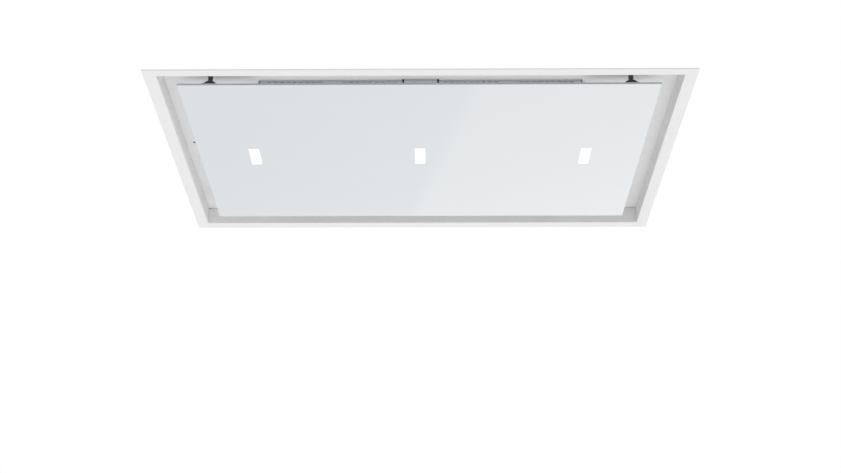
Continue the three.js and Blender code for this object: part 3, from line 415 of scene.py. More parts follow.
def carved(target, cutter):
    """Cuts a closed shape out of a piece and keeps the result as its mesh."""
    tool = bpy.data.objects.new(target.name + "_tool", mesh_of(cutter, target.name + "_tool"))
    bpy.context.scene.collection.objects.link(tool)
    modifier = target.modifiers.new("cut", "BOOLEAN")
    modifier.operation = "DIFFERENCE"
    modifier.solver = "MANIFOLD"
    modifier.object = tool
    graph = bpy.context.evaluated_depsgraph_get()
    result = bpy.data.meshes.new_from_object(target.evaluated_get(graph))
    target.modifiers.clear()
    old = target.data
    target.data = result
    result.name = target.name
    bpy.data.meshes.remove(old)
    bpy.data.meshes.remove(tool.data)


def fasteners(name, head, places):
    """One piece of screws or bolts, with the same head at each place."""
    shape = Shape()
    for place in places:
        shape.add(head, move=place)
    shape.piece(name, "zinc_screw")


# ---------------------------------------------------------------- materials

class Graph:
    """The nodes of one material or world, with short ways to add and join them."""

    def __init__(self, owner, empty=True):
        owner.use_nodes = True
        self.nodes, self.links = owner.node_tree.nodes, owner.node_tree.links
        if empty:
            self.nodes.clear()

    def add(self, kind):
        return self.nodes.new("ShaderNode" + kind)

    def join(self, socket, value):
        """Links an output to the socket, or writes a plain value in it."""
        if isinstance(value, bpy.types.NodeSocket):
            self.links.new(value, socket)
        else:
            socket.default_value = value

    def axes(self, source):
        """X, Y and Z of a texture coordinate."""
        split = self.add("SeparateXYZ")
        self.join(split.inputs["Vector"], self.add("TexCoord").outputs[source])
        return [split.outputs[axis] for axis in "XYZ"]

    def math(self, kind, *values):
        node = self.add("Math")
        node.operation = kind
        for socket, value in zip(node.inputs, values):
            self.join(socket, value)
        return node.outputs["Value"]

    def ranged(self, value, start, end, low, high):
        node = self.add("MapRange")
        self.join(node.inputs["Value"], value)
        for name, number in (("From Min", start), ("From Max", end), ("To Min", low), ("To Max", high)):
            node.inputs[name].default_value = number
        return node.outputs["Result"]

    def colours(self, factor, first, second):
        node = self.add("Mix")
        node.data_type = "RGBA"
        self.join(node.inputs[0], factor)
        node.inputs[6].default_value = [*first, 1]
        node.inputs[7].default_value = [*second, 1]
        return node.outputs[2]

    def mixed(self, factor, first, second):
        node = self.add("MixShader")
        for socket, value in zip(node.inputs, (factor, first, second)):
            self.join(socket, value)
        return node.outputs["Shader"]


MATERIALS = {}


def shader(name, colour, roughness, metallic=0.0, vary=0.04, patch=18.0, rough_vary=0.06,
           grain=0.6, depth=0.02, stretch=(1, 1, 1), cells=None, glow=None, ior=1.5):
    """Principled material with mottled colour, uneven roughness and a fine surface grain.

    patch, grain and cells are the sizes of the mottling, the grain and zinc crystals in mm, and depth is the
    grain's height in mm. glow is a colour and a strength.
    """
    material = bpy.data.materials.new(name)
    graph = Graph(material, empty=False)
    surface = graph.nodes["Principled BSDF"]
    surface.inputs["Metallic"].default_value = metallic
    surface.inputs["IOR"].default_value = ior
    place = graph.add("TexCoord").outputs["Object"]

    def noise(size, detail, squeeze=(1, 1, 1)):
        mapping = graph.add("Mapping")
        mapping.inputs["Scale"].default_value = [s / (size * MM) for s in squeeze]
        graph.join(mapping.inputs["Vector"], place)
        texture = graph.add("TexNoise")
        texture.inputs["Scale"].default_value = 1.0
        texture.inputs["Detail"].default_value = detail
        texture.inputs["Roughness"].default_value = 0.55
        graph.join(texture.inputs["Vector"], mapping.outputs["Vector"])
        return texture.outputs["Fac"]

    mottle = noise(patch, 3.0)
    if cells:
        crystals = graph.add("TexVoronoi")
        crystals.inputs["Scale"].default_value = 1 / (cells * MM)
        crystals.inputs["Randomness"].default_value = 0.95
        graph.join(crystals.inputs["Vector"], place)
        tone = graph.add("SeparateColor")
        graph.join(tone.inputs["Color"], crystals.outputs["Color"])
        mottle = graph.math("MULTIPLY", graph.math("ADD", mottle, tone.outputs["Red"]), 0.5)
        rough_source, rough_start, rough_end = tone.outputs["Green"], 0.0, 1.0
    else:
        rough_source, rough_start, rough_end = noise(patch * 0.6, 2.0), 0.25, 0.75
    dark, pale = [[min(1.0, c * (1 + way * vary)) for c in colour] for way in (-1, 1)]
    mottled = graph.colours(graph.ranged(mottle, 0.25, 0.75, 0, 1), dark, pale)
    graph.join(surface.inputs["Base Color"], mottled)
    smoothest, roughest = max(0.02, roughness - rough_vary), min(1.0, roughness + rough_vary)
    rough = graph.ranged(rough_source, rough_start, rough_end, smoothest, roughest)
    graph.join(surface.inputs["Roughness"], rough)
    bump = graph.add("Bump")
    bump.inputs["Strength"].default_value = 1.0
    bump.inputs["Distance"].default_value = depth * MM
    graph.join(bump.inputs["Height"], noise(grain, 2.0, stretch))
    graph.join(surface.inputs["Normal"], bump.outputs["Normal"])
    if glow:
        surface.inputs["Emission Color"].default_value = [*glow[:3], 1]
        surface.inputs["Emission Strength"].default_value = glow[3]
    MATERIALS[name] = material


shader("frame_paint", (0.834, 0.834, 0.834), 0.60, vary=0.006, patch=60, rough_vary=0.05, grain=1.6,
       depth=0.006, ior=1.26)
shader("deck_paint", (0.83, 0.83, 0.83), 0.58, vary=0.008, patch=50, rough_vary=0.05, grain=1.4,
       depth=0.006, ior=1.38)
shader("glass_face", (0.775, 0.790, 0.805), 0.035, vary=0.004, patch=120, rough_vary=0.01, grain=90)
shader("glass_edge", (0.50, 0.53, 0.57), 0.28, vary=0.03, patch=8, grain=0.5, depth=0.01)
shader("glass_paint", (0.80, 0.81, 0.82), 0.5, vary=0.01, patch=20, grain=0.8, depth=0.01)
shader("opal", (0.55, 0.55, 0.55), 0.45, vary=0.01, patch=4, grain=0.9, glow=(1.0, 0.99, 0.985, 0.75))
shader("lamp_shell", (0.78, 0.78, 0.76), 0.5, vary=0.02, patch=14, grain=0.5)
shader("black_plastic", (0.032, 0.032, 0.035), 0.42, vary=0.15, patch=9, grain=0.35)
shader("red_plastic", (0.13, 0.028, 0.024), 0.30, vary=0.05, patch=3, grain=0.4, depth=0.004)
shader("rose_plastic", (0.93, 0.66, 0.64), 0.40, vary=0.02, patch=3, grain=0.4, depth=0.004)
shader("dark_lens", (0.05, 0.008, 0.006), 0.12, vary=0.05, patch=2, grain=0.4, depth=0.002)
shader("aluminium", (0.60, 0.60, 0.62), 0.38, 1.0, patch=26, rough_vary=0.07, grain=0.35, depth=0.008,
       stretch=(0.04, 1, 1))
shader("mesh_aluminium", (0.56, 0.56, 0.58), 0.36, 1.0, vary=0.08, patch=7, rough_vary=0.1, depth=0.01)
shader("galvanised", (0.60, 0.615, 0.625), 0.38, 0.95, vary=0.075, patch=40, rough_vary=0.07, grain=0.7,
       depth=0.006, cells=9)
shader("bright_steel", (0.66, 0.66, 0.67), 0.26, 1.0, vary=0.05, patch=6, grain=0.3, depth=0.004)
shader("zinc_screw", (0.70, 0.69, 0.66), 0.28, 1.0, vary=0.10, patch=3, rough_vary=0.08, grain=0.3,
       depth=0.004)
shader("motor_paint", (0.22, 0.23, 0.24), 0.4, 0.6, vary=0.05, patch=12, grain=0.8)
shader("grey_plastic", (0.30, 0.31, 0.32), 0.48, patch=16, grain=0.45, depth=0.025)
shader("rubber", (0.022, 0.022, 0.023), 0.8, vary=0.2, patch=5, depth=0.03)
shader("board", (0.04, 0.17, 0.075), 0.4, vary=0.25, patch=5, grain=1.2, depth=0.03)


# ---------------------------------------------------------------- ceiling frame and deck

def trim_frame():
    x0, x1, y0, y1, _, z1 = box("trim_frame")
    sheet, flange, drop, rim = 1.2, 23.0, 1.1, 2.0
    inner = rectangle(x0 + flange, x1 - flange, y0 + flange, y1 - flange)
    half = sheet / 2
    line = [
        (13.6, z1 - half), (half, z1 - half), (half, -rim + half), (flange - half, -rim - drop + half),
        (flange - half, -half), (flange - 9, -half),
    ]
    Shape().add(ring(inner, folded(line, sheet, 0.66, 4))).piece(
        "ceiling_frame", "frame_paint", "trim_frame", smooth=40)


def deck():
    x0, x1, y0, y1, z0, z1 = box("deck_plate")
    filter_x0, filter_x1, filter_y0, filter_y1, _, _ = box("filter_frame_right")
    overlap, catch_hole, receiver_hole, bead, inset = 10, 5.5, 2.9, 1.6, 7
    holes = []
    for _, side in SIDES:
        a, b = mirrored(side, filter_x0 + overlap, filter_x1 - overlap)
        holes.append(rounded(a, b, filter_y0 + overlap, filter_y1 - overlap, 5))
    for name, _ in SIDES:
        x, y, _ = centre(f"catch_stud_{name}")
        holes.append(circle(x, y, catch_hole, 24))
    x, y, _ = centre("receiver_bezel")
    holes.append(circle(x, y, receiver_hole, 20))
    shape = Shape().add(plate(rounded(x0, x1, y0, y1, 2), holes, z0, z1, 0.25, 2))
    # pressed beads on the upper side, clear of what stands there
    casing_y = box("casing_shell")[3]
    for side in (-1, 1):
        for x in (-330, -110, 110, 330):
            shape.add(dome(150, 9, bead), move=at(x, side * (casing_y + 16), z1))
        for y in (-215, 215):
            shape.add(dome(100, 9, bead), move=at(side * 405, y, z1) @ Matrix.Rotation(math.pi / 2, 4, "Z"))
    # black strip under the deck over the slit between each filter and the bridge: painted shade that darkens
    # the slit
    _, bridge_x, bridge_y, bridge_end, _, _ = box("filter_bridge")
    for _, side in SIDES:
        a, b = mirrored(side, bridge_x - 0.6, filter_x0 + 0.6)
        shape.add(bar(a, b, bridge_y, bridge_end, z0 - 0.05, z0 + 0.2, 0.02), 1)
    shape.piece("deck", "deck_paint rubber", "deck_plate")
    places = [at(x, y, z1) for x in (-440, -300, -150, 0, 150, 300, 440) for y in (y0 + inset, y1 - inset)]
    places += [at(x, y, z1) for y in (-270, -135, 0, 135, 270) for x in (x0 + inset, x1 - inset)]
    fasteners("deck_screws", pan_screw(3.4, 2.2), places)


def receiver():
    z0, z1 = box("receiver_bezel")[4:]
    x, y, _ = centre("receiver_bezel")
    place = at(x, y, 0)
    bore, eye, tube, lip = 2.1, 2.5, 2.6, 3.2
    throat = [(bore, z0 + 0.3), (bore + 0.3, z0), (eye, z0), (eye, z1), (bore, z1)]
    rim = [(eye, z0), (lip - 0.35, z0), (lip, z0 + 0.3), (lip, z0 + 0.6), (tube, z0 + 0.6), (tube, z1),
           (eye, z1)]
    shape = Shape().add(lathe(throat, 28, True), 1, move=place).add(lathe(rim, 28, True), move=place)
    shape.piece("receiver_ring", "rose_plastic red_plastic", "receiver_bezel")
    z0, z1 = box("receiver_lens")[4:]
    face = [(0, z0), (0.7, z0 + 0.08), (1.15, z0 + 0.3), (1.4, z0 + 0.7), (1.4, z1), (0, z1)]
    Shape().add(lathe(face, 24), move=place).piece("receiver_window", "dark_lens", "receiver_lens")


# ---------------------------------------------------------------- grease filters

def bridge():
    x0, x1, y0, y1, z0, z1 = box("filter_bridge")
    sheet, shade_strip, half_slot = 1.2, 0.3, 13
    half, joggle = sheet / 2, z1 - 2.8
    line = [(-half - 1.8, z1), (-half - 1.8, joggle), (-half, joggle), (-half, z0 + half), (-5, z0 + half)]
    shape = Shape().add(ring(rectangle(x0 + shade_strip, x1 - shade_strip, y0, y1), folded(line, sheet, 0.45, 3)))
    shape.add(plate(rectangle(x0 + 4, x1 - 4, y0 + 4, y1 - 4), (), z0 + 0.02, z0 + sheet - 0.02, 0.02, 1))
    # black strips on the bridge's two side walls: painted shade that darkens the slits beside the filters
    for a, b in ((x0, x0 + shade_strip), (x1 - shade_strip, x1)):
        shape.add(bar(a, b, y0 + 1, y1 - 1, z0 + 0.8, joggle - 0.4, 0.05), 1)
    for y in (-190, -95, 95, 190):
        shape.add(rivet(2.4, 0.9), move=towards((0, 0, -1), 0, y, z0 + 0.05))
    latch = box("filter_latch_right")[4] + LATCH_FOOT
    slot = bar(x0 - 2, x1 + 2, -half_slot, half_slot, latch - 0.3, latch + 2.5, 0.1)
    shape.piece("bridge", "aluminium rubber", "filter_bridge", carve=[slot])


def filter_frames():
    sheet, lip, shade_strip, room, slot_pitch = 1.0, 12.0, 0.3, 0.3, 11.75
    half = sheet / 2
    slot = plate(slot_outline(0, 0, 6.0, 1.6, 3), (), -1.6, 1.6, 0.02, 1)
    for name, side in SIDES:
        x0, x1, y0, y1, z0, z1 = box(f"filter_frame_{name}")
        left, right = (x0, x1 - shade_strip) if side < 0 else (x0 + shade_strip, x1)
        line = [(-lip, z1 - half), (-half, z1 - half), (-half, z0 + half), (-lip, z0 + half)]
        shape = Shape().add(ring(rectangle(left, right, y0, y1), folded(line, sheet, 0.75, 3)))
        # black strip on the frame's end beside the bridge: painted shade that darkens the slit
        shade_strip_ends = (right, x1) if side < 0 else (x0, left)
        shape.add(bar(*shade_strip_ends, y0 + 1, y1 - 1, z0 + 1, z1 - 1, 0.05), 1)
        for x in (x0 + 6, x1 - 6):
            for y in (y0 + 6, y1 - 6):
                shape.add(rivet(2.0, 0.5), move=towards((0, 0, -1), x, y, z0 + 0.05))
        tray_x0, tray_x1, tray_y0, tray_y1, _, tray_z1 = box(f"latch_housing_{name}")
        cuts = [bar(tray_x0 - room, tray_x1 + room, tray_y0 - room, tray_y1 + room, z0 - 2, tray_z1 + room,
                    0.05)]
        # two rows of drain slots in each end, with a baffle behind them
        for end, inward in ((y0, 1), (y1, -1)):
            front, back = sorted((end + inward * 1.7, end + inward * 2.2))
            shape.add(bar(x0 + 4, x1 - 4, front, back, z0 + 1.0, z1 - 1.0, 0.05))
            for middle in (94, 235):
                for k in range(9):
                    x = side * (middle + (k - 4) * slot_pitch)
                    cuts.append(placed(slot, towards((0, 1, 0), x, end, z0 + 5.6)))
        shape.piece(f"filter_{name}_frame", "aluminium rubber", f"filter_frame_{name}", carve=cuts)


def expanded(x0, x1, y0, y1, z, long_way, short_way, strand, lift, thick, keep_out):
    """Expanded metal: a lattice of diamonds with tilted strands."""
    a, b = long_way / 2, short_way / 2
    scale = 1 - strand / 2 / (a * b / math.hypot(a, b))
    points, faces = [], []
    columns, rows = int((x1 - x0) / a), int((y1 - y0) / b)
    sx, sy = (x0 + x1) / 2 - columns * a / 2, (y0 + y1) / 2 - rows * b / 2
    corners = ((1, 0), (0, 1), (-1, 0), (0, -1))
    for i in range(columns + 1):
        for j in range(rows + 1):
            if (i + j) % 2:
                continue
            cx, cy = sx + i * a, sy + j * b
            if keep_out[0] < cx < keep_out[1] and keep_out[2] < cy < keep_out[3]:
                continue
            start = len(points)
            for level in (-thick / 2, thick / 2):
                for px, py in corners:
                    points.append((min(max(cx + px * a, x0), x1), min(max(cy + py * b, y0), y1), z + level))
                for px, py in corners:
                    inside_x = min(max(cx + px * a * scale, x0), x1)
                    inside_y = min(max(cy + py * b * scale, y0), y1)
                    points.append((inside_x, inside_y, z + level + py * lift))
            for k in range(4):
                n = (k + 1) % 4
                faces.append((start + k, start + n, start + 4 + n, start + 4 + k))
                faces.append((start + 8 + n, start + 8 + k, start + 12 + k, start + 12 + n))
                faces.append((start + 4 + k, start + 4 + n, start + 12 + n, start + 12 + k))
    return points, faces, ()


def filter_meshes():
    for name, _ in SIDES:
        x0, x1, y0, y1, z0, z1 = box(f"filter_mesh_{name}")
        tray_x0, tray_x1, tray_y0, tray_y1, _, _ = box(f"latch_housing_{name}")
        keep_out = (tray_x0 - 8, tray_x1 + 8, tray_y0 - 4, tray_y1 + 4)
        shape = Shape().add(expanded(x0, x1, y0, y1, z0 + 0.9, 16, 8, 1.5, 0.5, 0.5, keep_out))
        shape.add(expanded(x0, x1, y0, y1, z1 - 1.2, 20, 10, 1.9, 0.6, 0.5, keep_out))
        shape.piece(f"filter_{name}_mesh", "mesh_aluminium", f"filter_mesh_{name}", smooth=20)


def filter_rails():
    sheet = 1.2
    half = sheet / 2
    for name, side in SIDES:
        x0, x1, y0, y1, z0, z1 = box(f"filter_rail_{name}")
        inner, outer = (x0, x1) if side > 0 else (x1, x0)
        line = [(outer - side * half, z1), (outer - side * half, z0 + half), (inner, z0 + half)]
        shape = Shape().add(plate(folded(line, sheet, 0.9, 4), (), y0, y1, 0.12, 1), move=ALONG_Y)
        shape.piece(f"rail_{name}", "aluminium", f"filter_rail_{name}")


def latches():
    wall, lip, tongue, grip = 1.2, 4.0, 12.0, 4.0
    for name, side in SIDES:
        x0, x1, y0, y1, z0, z1 = box(f"latch_housing_{name}")
        near, far = (x0, x1) if side > 0 else (x1, x0)
        a, b = sorted((near - side * 1, far - side * wall))
        channel = bar(a, b, y0 + wall, y1 - wall, z0 + wall, z1 - wall, 0.15, 0.3)
        mouth = bar(a, b, y0 + wall + lip, y1 - wall - lip, z0 - 1, z0 + wall + 1, 0.1, 1.2)
        Shape().add(bar(x0, x1, y0, y1, z0, z1, 0.35, 1.0)).piece(
            f"latch_tray_{name}", "black_plastic", f"latch_housing_{name}", carve=[channel, mouth])
        x0, x1, y0, y1, z0, z1 = box(f"filter_latch_{name}")
        tip, heel = (x0, x1) if side > 0 else (x1, x0)
        foot, shoulder, half = z0 + LATCH_FOOT, heel - side * 20, y1 - lip - 0.3
        shape = Shape().add(bar(*sorted((shoulder, heel)), y0, y1, foot, z1, 0.3, 1.0))
        shape.add(bar(*sorted((tip, shoulder + side * 1)), -tongue, tongue, foot, z1, 0.4, 1.2))
        shape.add(bar(*sorted((heel - side * grip, heel)), -half, half, z0, foot + 1, 0.4, 0.8))
        for k in range(4):
            x = heel - side * (7 + 2.6 * k)
            shape.add(bar(x - 0.5, x + 0.5, -half + 2, half - 2, foot - 0.45, foot + 0.3, 0.2, 0.4))
        shape.piece(f"latch_{name}_slide", "black_plastic", f"filter_latch_{name}", f"latch_{name}")


# ---------------------------------------------------------------- glass panel

def window(node, room, radius):
    """Outline of a lamp's window round the middle of a node, smaller all round by room."""
    x, y, _ = centre(node)
    half_x, half_y = WINDOW_X - room, WINDOW_Y - room
    return rounded(x - half_x, x + half_x, y - half_y, y + half_y, radius, 4)


def glass():
    x0, x1, y0, y1, z0, z1 = box("glass_panel")
    paint = 0.3
    windows = [window(f"led_housing_{name}", 0, 1.5) for name in LAMPS]
    shape = Shape().add(plate(rounded(x0, x1, y0, y1, 2, 6), windows, z0, z1 - paint, 0.4, 3), 0, 1)
    grown = [moved(outline, 0.4) for outline in windows]
    painted = rounded(x0 + 0.5, x1 - 0.5, y0 + 0.5, y1 - 0.5, 1.6, 6)
    shape.add(plate(painted, grown, z1 - paint, z1, 0.02, 1), 2)
    shape.piece("panel_glass", "glass_face glass_edge glass_paint", "glass_panel", PANEL)


def lamps():
    fins, rim = 9, 7.6
    for name in LAMPS:
        node = f"led_diffuser_{name}"
        x0, x1, y0, y1, z0, z1 = box(node)
        shape = Shape().add(plate(window(node, 0.3, 1.4), (), z0 + 0.1, z1 - 1.2, 0.3, 3))
        shape.add(bar(x0, x1, y0, y1, z1 - 1.5, z1, 0.2, 1.5))
        shape.piece(f"lamp_window_{name}", "opal", node, PANEL)
        node = f"led_housing_{name}"
        x0, x1, y0, y1, z0, z1 = box(node)
        shape = Shape().add(bar(x0, x1, y0, y1, z0, z0 + 6.5, 0.8, 3.0))
        shape.add(bar(x0 + 3, x1 - 3, y0 + 3, y1 - 3, z0 + 5.5, z1 - 2.5, 0.8, 2.5))
        for k in range(fins):
            y = y0 + 12 + k * (y1 - y0 - 24) / (fins - 1)
            shape.add(bar(x0 + 6, x1 - 6, y - 0.9, y + 0.9, z1 - 3.5, z1, 0.35, 0.7))
        for y in (y0 + 5.5, y1 - 5.5):
            shape.add(pan_screw(2.6, 1.4), 1, move=at((x0 + x1) / 2, y, z1 - 2.6))
        hollow = bar(x0 + rim, x1 - rim, y0 + rim, y1 - rim, z0 - 1, z0 + 1.85, 0.05, 1.0)
        shape.piece(f"lamp_shell_{name}", "lamp_shell zinc_screw", node, PANEL, [hollow])


def panel_rails():
    x0, x1, _, y1, z0, z1 = box("panel_frame")
    y0, width, gap, pad = -y1, 14, 0.12, 13.5
    section = filleted([
        (0, z0), (0, z1), (-3.2, z1), (-3.2, z1 - 1.0), (-width + 3.2, z1 - 1.0), (-width + 3.2, z1),
        (-width, z1), (-width, z0),
    ], 0.35, 2, True)
    count = len(section)
    path = rectangle(x0, x1, y0, y1)
    out = mitres(path, True)
    shape = Shape()
    for k in range(4):
        (ax, ay), (bx, by) = path[k], path[(k + 1) % 4]
        dx, dy = unit(bx - ax, by - ay)
        (mx, my), (nx, ny) = out[k], out[(k + 1) % 4]
        points = [(ax + mx * o + dx * gap, ay + my * o + dy * gap, z) for o, z in section]
        points += [(bx + nx * o - dx * gap, by + ny * o - dy * gap, z) for o, z in section]
        faces = [(i, (i + 1) % count, count + (i + 1) % count, count + i) for i in range(count)]
        for t in capped([section]):
            faces.append(tuple(t))
            faces.append(tuple(count + i for i in t))
        shape.add((points, faces, ()))
    places = [(x, y) for x in (x0 + 7, x1 - 7) for y in (y0 + 22, y1 - 22)]
    places += [(x, y) for x in (-250, -125, 125, 250) for y in (y0 + 7, y1 - 7)]
    for x, y in places:
        shape.add(pan_screw(2.4, 0.9), 1, move=at(x, y, z1 - 1.0))
    for name, _ in SIDES:
        x, y, _ = centre(f"catch_stud_{name}")
        shape.add(bar(x - pad, x + pad, y - pad, y0 + 2, z0, z0 + 1.2, 0.2, 2.5), 2)
    shape.piece("panel_rails", "aluminium zinc_screw black_plastic", "panel_frame", PANEL)


def catches():
    deck_top = box("deck_plate")[5]
    stem, neck, head = 4.5, 3.0, 4.6
    bore, outer = 5.5, 9.5
    for name, _ in SIDES:
        x0, x1, _, _, z0, z1 = box(f"catch_stud_{name}")
        x, y, _ = centre(f"catch_stud_{name}")
        foot, dome_foot = (x1 - x0) / 2, z0 + 3.0
        profile = [(0, z0), (foot - 0.4, z0), (foot, z0 + 0.4), (foot, dome_foot - 1.4),
                   (foot - 0.35, dome_foot - 1.1), (foot - 0.35, dome_foot - 0.7), (foot, dome_foot - 0.4)]
        for k in range(9):
            angle = math.pi / 2 * k / 8
            profile.append((stem + (foot - stem) * math.cos(angle), dome_foot + 5.0 * math.sin(angle)))
        profile += [(stem, dome_foot + 5.8), (stem, deck_top - 0.4), (stem - 0.3, deck_top),
                    (neck, deck_top + 1), (neck, z1 - 5), (head - 0.2, z1 - 3.8), (head, z1 - 3.3),
                    (head, z1 - 2.2), (head - 0.3, z1 - 1.8), (neck, z1 - 0.3), (neck - 0.4, z1), (0, z1)]
        Shape().add(lathe(profile, 48), move=at(x, y, 0)).piece(
            f"catch_post_{name}", "black_plastic", f"catch_stud_{name}", PANEL)
        z0, z1 = box(f"catch_socket_{name}")[4:]
        x, y, _ = centre(f"catch_socket_{name}")
        profile = [(0, z1 - 2), (bore, z1 - 2), (bore, z0 + 0.5), (bore + 0.5, z0), (outer, z0),
                   (outer, z0 + 1.2), (outer - 1.2, z0 + 2.0), (outer - 1.6, z1 - 0.8), (outer - 2.2, z1),
                   (0, z1)]
        shape = Shape().add(lathe(profile, 40), move=at(x, y, 0))
        rib = bar(outer - 2.4, outer - 0.2, -0.6, 0.6, z0 + 1.0, z1 - 1.5, 0.2, 0.25)
        for k in range(6):
            shape.add(rib, move=at(x, y, 0) @ Matrix.Rotation(math.pi / 3 * k, 4, "Z"))
        shape.piece(f"catch_cup_{name}", "grey_plastic", f"catch_socket_{name}")


def hinges():
    ear, radius, bore = 3.0, 5.5, 2.8
    steel = "bright_steel zinc_screw"
    for name, _ in SIDES:
        pin_x0, pin_x1, _, _, pin_z0, pin_z1 = box(f"hinge_pin_{name}")
        _, y, z = centre(f"hinge_pin_{name}")
        x0, x1, y0, y1, _, z1 = box(f"hinge_leaf_{name}")
        shape = Shape().add(bar(x0, x1, y0, y1, z1 - 2, z1, 0.3, 2.0))
        # ear: an upright tongue with a round end, drawn in the YZ plane
        outline = [(y - radius, z1 - 0.5)]
        for k in range(13):
            angle = math.pi + math.pi * k / 12
            outline.append((y + radius * math.cos(angle), z + radius * math.sin(angle)))
        outline.append((y + radius, z1 - 0.5))
        for a, b in ((x0, x0 + ear), (x1 - ear, x1)):
            shape.add(plate(outline, [circle(y, z, bore, 20)], a, b, 0.3, 2), move=ALONG_X)
        for x in (x0 + 8, x1 - 8):
            shape.add(pan_screw(2.6, 1.3), 1, move=towards((0, 0, -1), x, (y0 + y) / 2 - 1, z1 - 2))
        shape.piece(f"hinge_plate_{name}", steel, f"hinge_leaf_{name}")
        profile = bevelled(0, (pin_z1 - pin_z0) / 2, 0, pin_x1 - pin_x0)
        Shape().add(lathe(profile, 24), move=towards((1, 0, 0), pin_x0, y, z)).piece(
            f"hinge_rod_{name}", "bright_steel", f"hinge_pin_{name}")
        x0, x1, y0, _, _, _ = box(f"hinge_arm_{name}")
        length = x1 - x0
        profile = [(bore, 0.2), (bore + 0.2, 0), (radius - 0.4, 0), (radius, 0.4), (radius, length - 0.4),
                   (radius - 0.4, length), (bore + 0.2, length), (bore, length - 0.2)]
        shape = Shape().add(lathe(profile, 32, True), move=towards((1, 0, 0), x0, y, z))
        foot = box("panel_frame")[5] + 0.3
        shape.add(bar(x0, x1, y0, y - bore - 0.4, foot, foot + 2, 0.3, 1.6))
        for x in (x0 + 6, x1 - 6):
            shape.add(pan_screw(2.6, 1.3), 1, move=at(x, y0 + 5.5, foot + 2))
        shape.piece(f"hinge_arm_{name}_steel", steel, f"hinge_arm_{name}", PANEL)


# ---------------------------------------------------------------- casing

def casing():
    _, x1, _, y1, z0, z1 = box("casing_shell")
    flange, sheet, bead, duct_radius, inset = 12.8, 1.2, 2.2, 75, 5.6
    half, rise = sheet / 2, (z1 - z0) / 2
    wall_x, wall_y = x1 - flange, y1 - flange
    line = [(flange, z0 + half), (-half, z0 + half), (-half, z1 - half), (-14, z1 - half)]
    shape = Shape().add(ring(rectangle(-wall_x, wall_x, -wall_y, wall_y), folded(line, sheet, 1.4, 4)))
    # stiffening beads
    for z in (z0 + 62, z0 + 104, z0 + 146):
        shape.add(dome(470, 10, bead), move=towards((0, -1, 0), 0, -wall_y, z))
        shape.add(dome(150, 10, bead), move=towards((0, 1, 0), -190, wall_y, z))
        shape.add(dome(110, 10, bead), move=towards((0, 1, 0), 222, wall_y, z))
        for side in (-1, 1):
            shape.add(dome(320, 10, bead), move=towards((side, 0, 0), side * wall_x, 0, z))
    # overlapped corners with spot welds, on the long walls
    strip = bar(-8.5, 8.5, -rise + 6, rise - 6, -0.1, 0.7, 0.25, 1.5)
    weld = lathe([(0, 0.15), (1.6, 0.3), (2.2, 0.25), (2.7, -0.1), (0, -0.1)], 16)
    for end in (-1, 1):
        for side in (-1, 1):
            x = side * (wall_x - 9)
            shape.add(strip, move=towards((0, end, 0), x, end * wall_y, (z0 + z1) / 2))
            for k in range(6):
                shape.add(weld, move=towards((0, end, 0), x, end * (wall_y + 0.7), z0 + 22 + 32 * k))
    duct_x, _, duct_z = centre("outlet_collar")
    duct = placed(rod(duct_radius, 0, 20, 64), towards((0, 1, 0), duct_x, wall_y - 10, duct_z))
    shape.piece("casing", "galvanised", "casing_shell", carve=[duct])
    places = [(x, side * (y1 - inset)) for x in (-250, -125, 0, 125, 250) for side in (-1, 1)]
    places += [(side * (x1 - inset), y) for y in (-240, -80, 80, 240) for side in (-1, 1)]
    fasteners("casing_screws", pan_screw(3.2, 2.0), [at(x, y, z0 + sheet) for x, y in places])


def casing_top():
    x0, x1, y0, y1, z0, z1 = box("casing_top")
    seats, inset, width = [], 9, 16
    for x in (-300, -150, 0, 150, 300):
        seats += [(x, y0 + inset), (x, y1 - inset)]
    for y in (-170, 0, 170):
        seats += [(x0 + inset, y), (x1 - inset, y)]
    grooves = [(0, y, 520) for y in (-190, -120, 120, 190)] + [(x, 0, 90) for x in (-250, 250)]
    holes = [circle(x, y, 4.6, 20) for x, y in seats]
    holes += [slot_outline(x, y, length, width, 6) for x, y, length in grooves]
    shape = Shape().add(plate(rounded(x0, x1, y0, y1, 3), holes, z0, z1, 0.12, 1))
    for x, y in seats:
        shape.add(plate(circle(x, y, 5.4, 20), (), z0 - 0.7, z0 + 0.15, 0.1, 1))
    for x, y, length in grooves:
        shape.add(groove(x, y, length + 0.2, width + 0.2, 2.6, z1 - 0.05))
    for x in (-168, -152, 32, 48):
        shape.add(rivet(2.6, 0.8), move=at(x, -6, z1 - 0.85))
    shape.piece("casing_lid", "galvanised", "casing_top")
    fasteners("casing_lid_screws", pan_screw(3.4, 1.0), [at(x, y, z1 - 1.1) for x, y in seats])


def hangers():
    sheet, rod_out = 3.0, 24
    gusset = plate([(0, 0), (0, -16), (16, 0)], (), -2.4, 2.4, 1.2, 3)
    slot = plate(slot_outline(0, 0, 14, 9, 6), (), -6, 6, 0.05, 1)
    for end in ("near", "far"):
        for name, side in SIDES:
            node = f"hanger_bracket_{end}_{name}"
            x0, x1, y0, y1, z0, z1 = box(node)
            inner, outer = (x0, x1) if side > 0 else (x1, x0)
            middle, wall = (y0 + y1) / 2, inner + side * sheet / 2
            line = [(wall, z0), (wall, z1 - sheet / 2), (outer, z1 - sheet / 2)]
            shape = Shape().add(plate(folded(line, sheet, 3.6, 6), (), y0, y1, 0.4, 2), move=ALONG_Y)
            # gusset pressed into the bend
            place = at(inner + side * (sheet - 0.6), middle, z1 - sheet + 0.6)
            shape.add(gusset, move=place @ Matrix.Scale(side, 4, (1, 0, 0)) @ ALONG_Y)
            cut = placed(slot, at(inner + side * rod_out, middle, z1))
            shape.piece(f"hanger_{end}_{name}", "galvanised", node, carve=[cut])
            places = [towards((side, 0, 0), inner + side * sheet, middle + dy, z0 + dz)
                      for dz in (14, 34) for dy in (-11, 11)]
            fasteners(f"hanger_bolts_{end}_{name}", hex_bolt(4.6, 4.2, 6.2), places)


# ---------------------------------------------------------------- duct collar and flaps

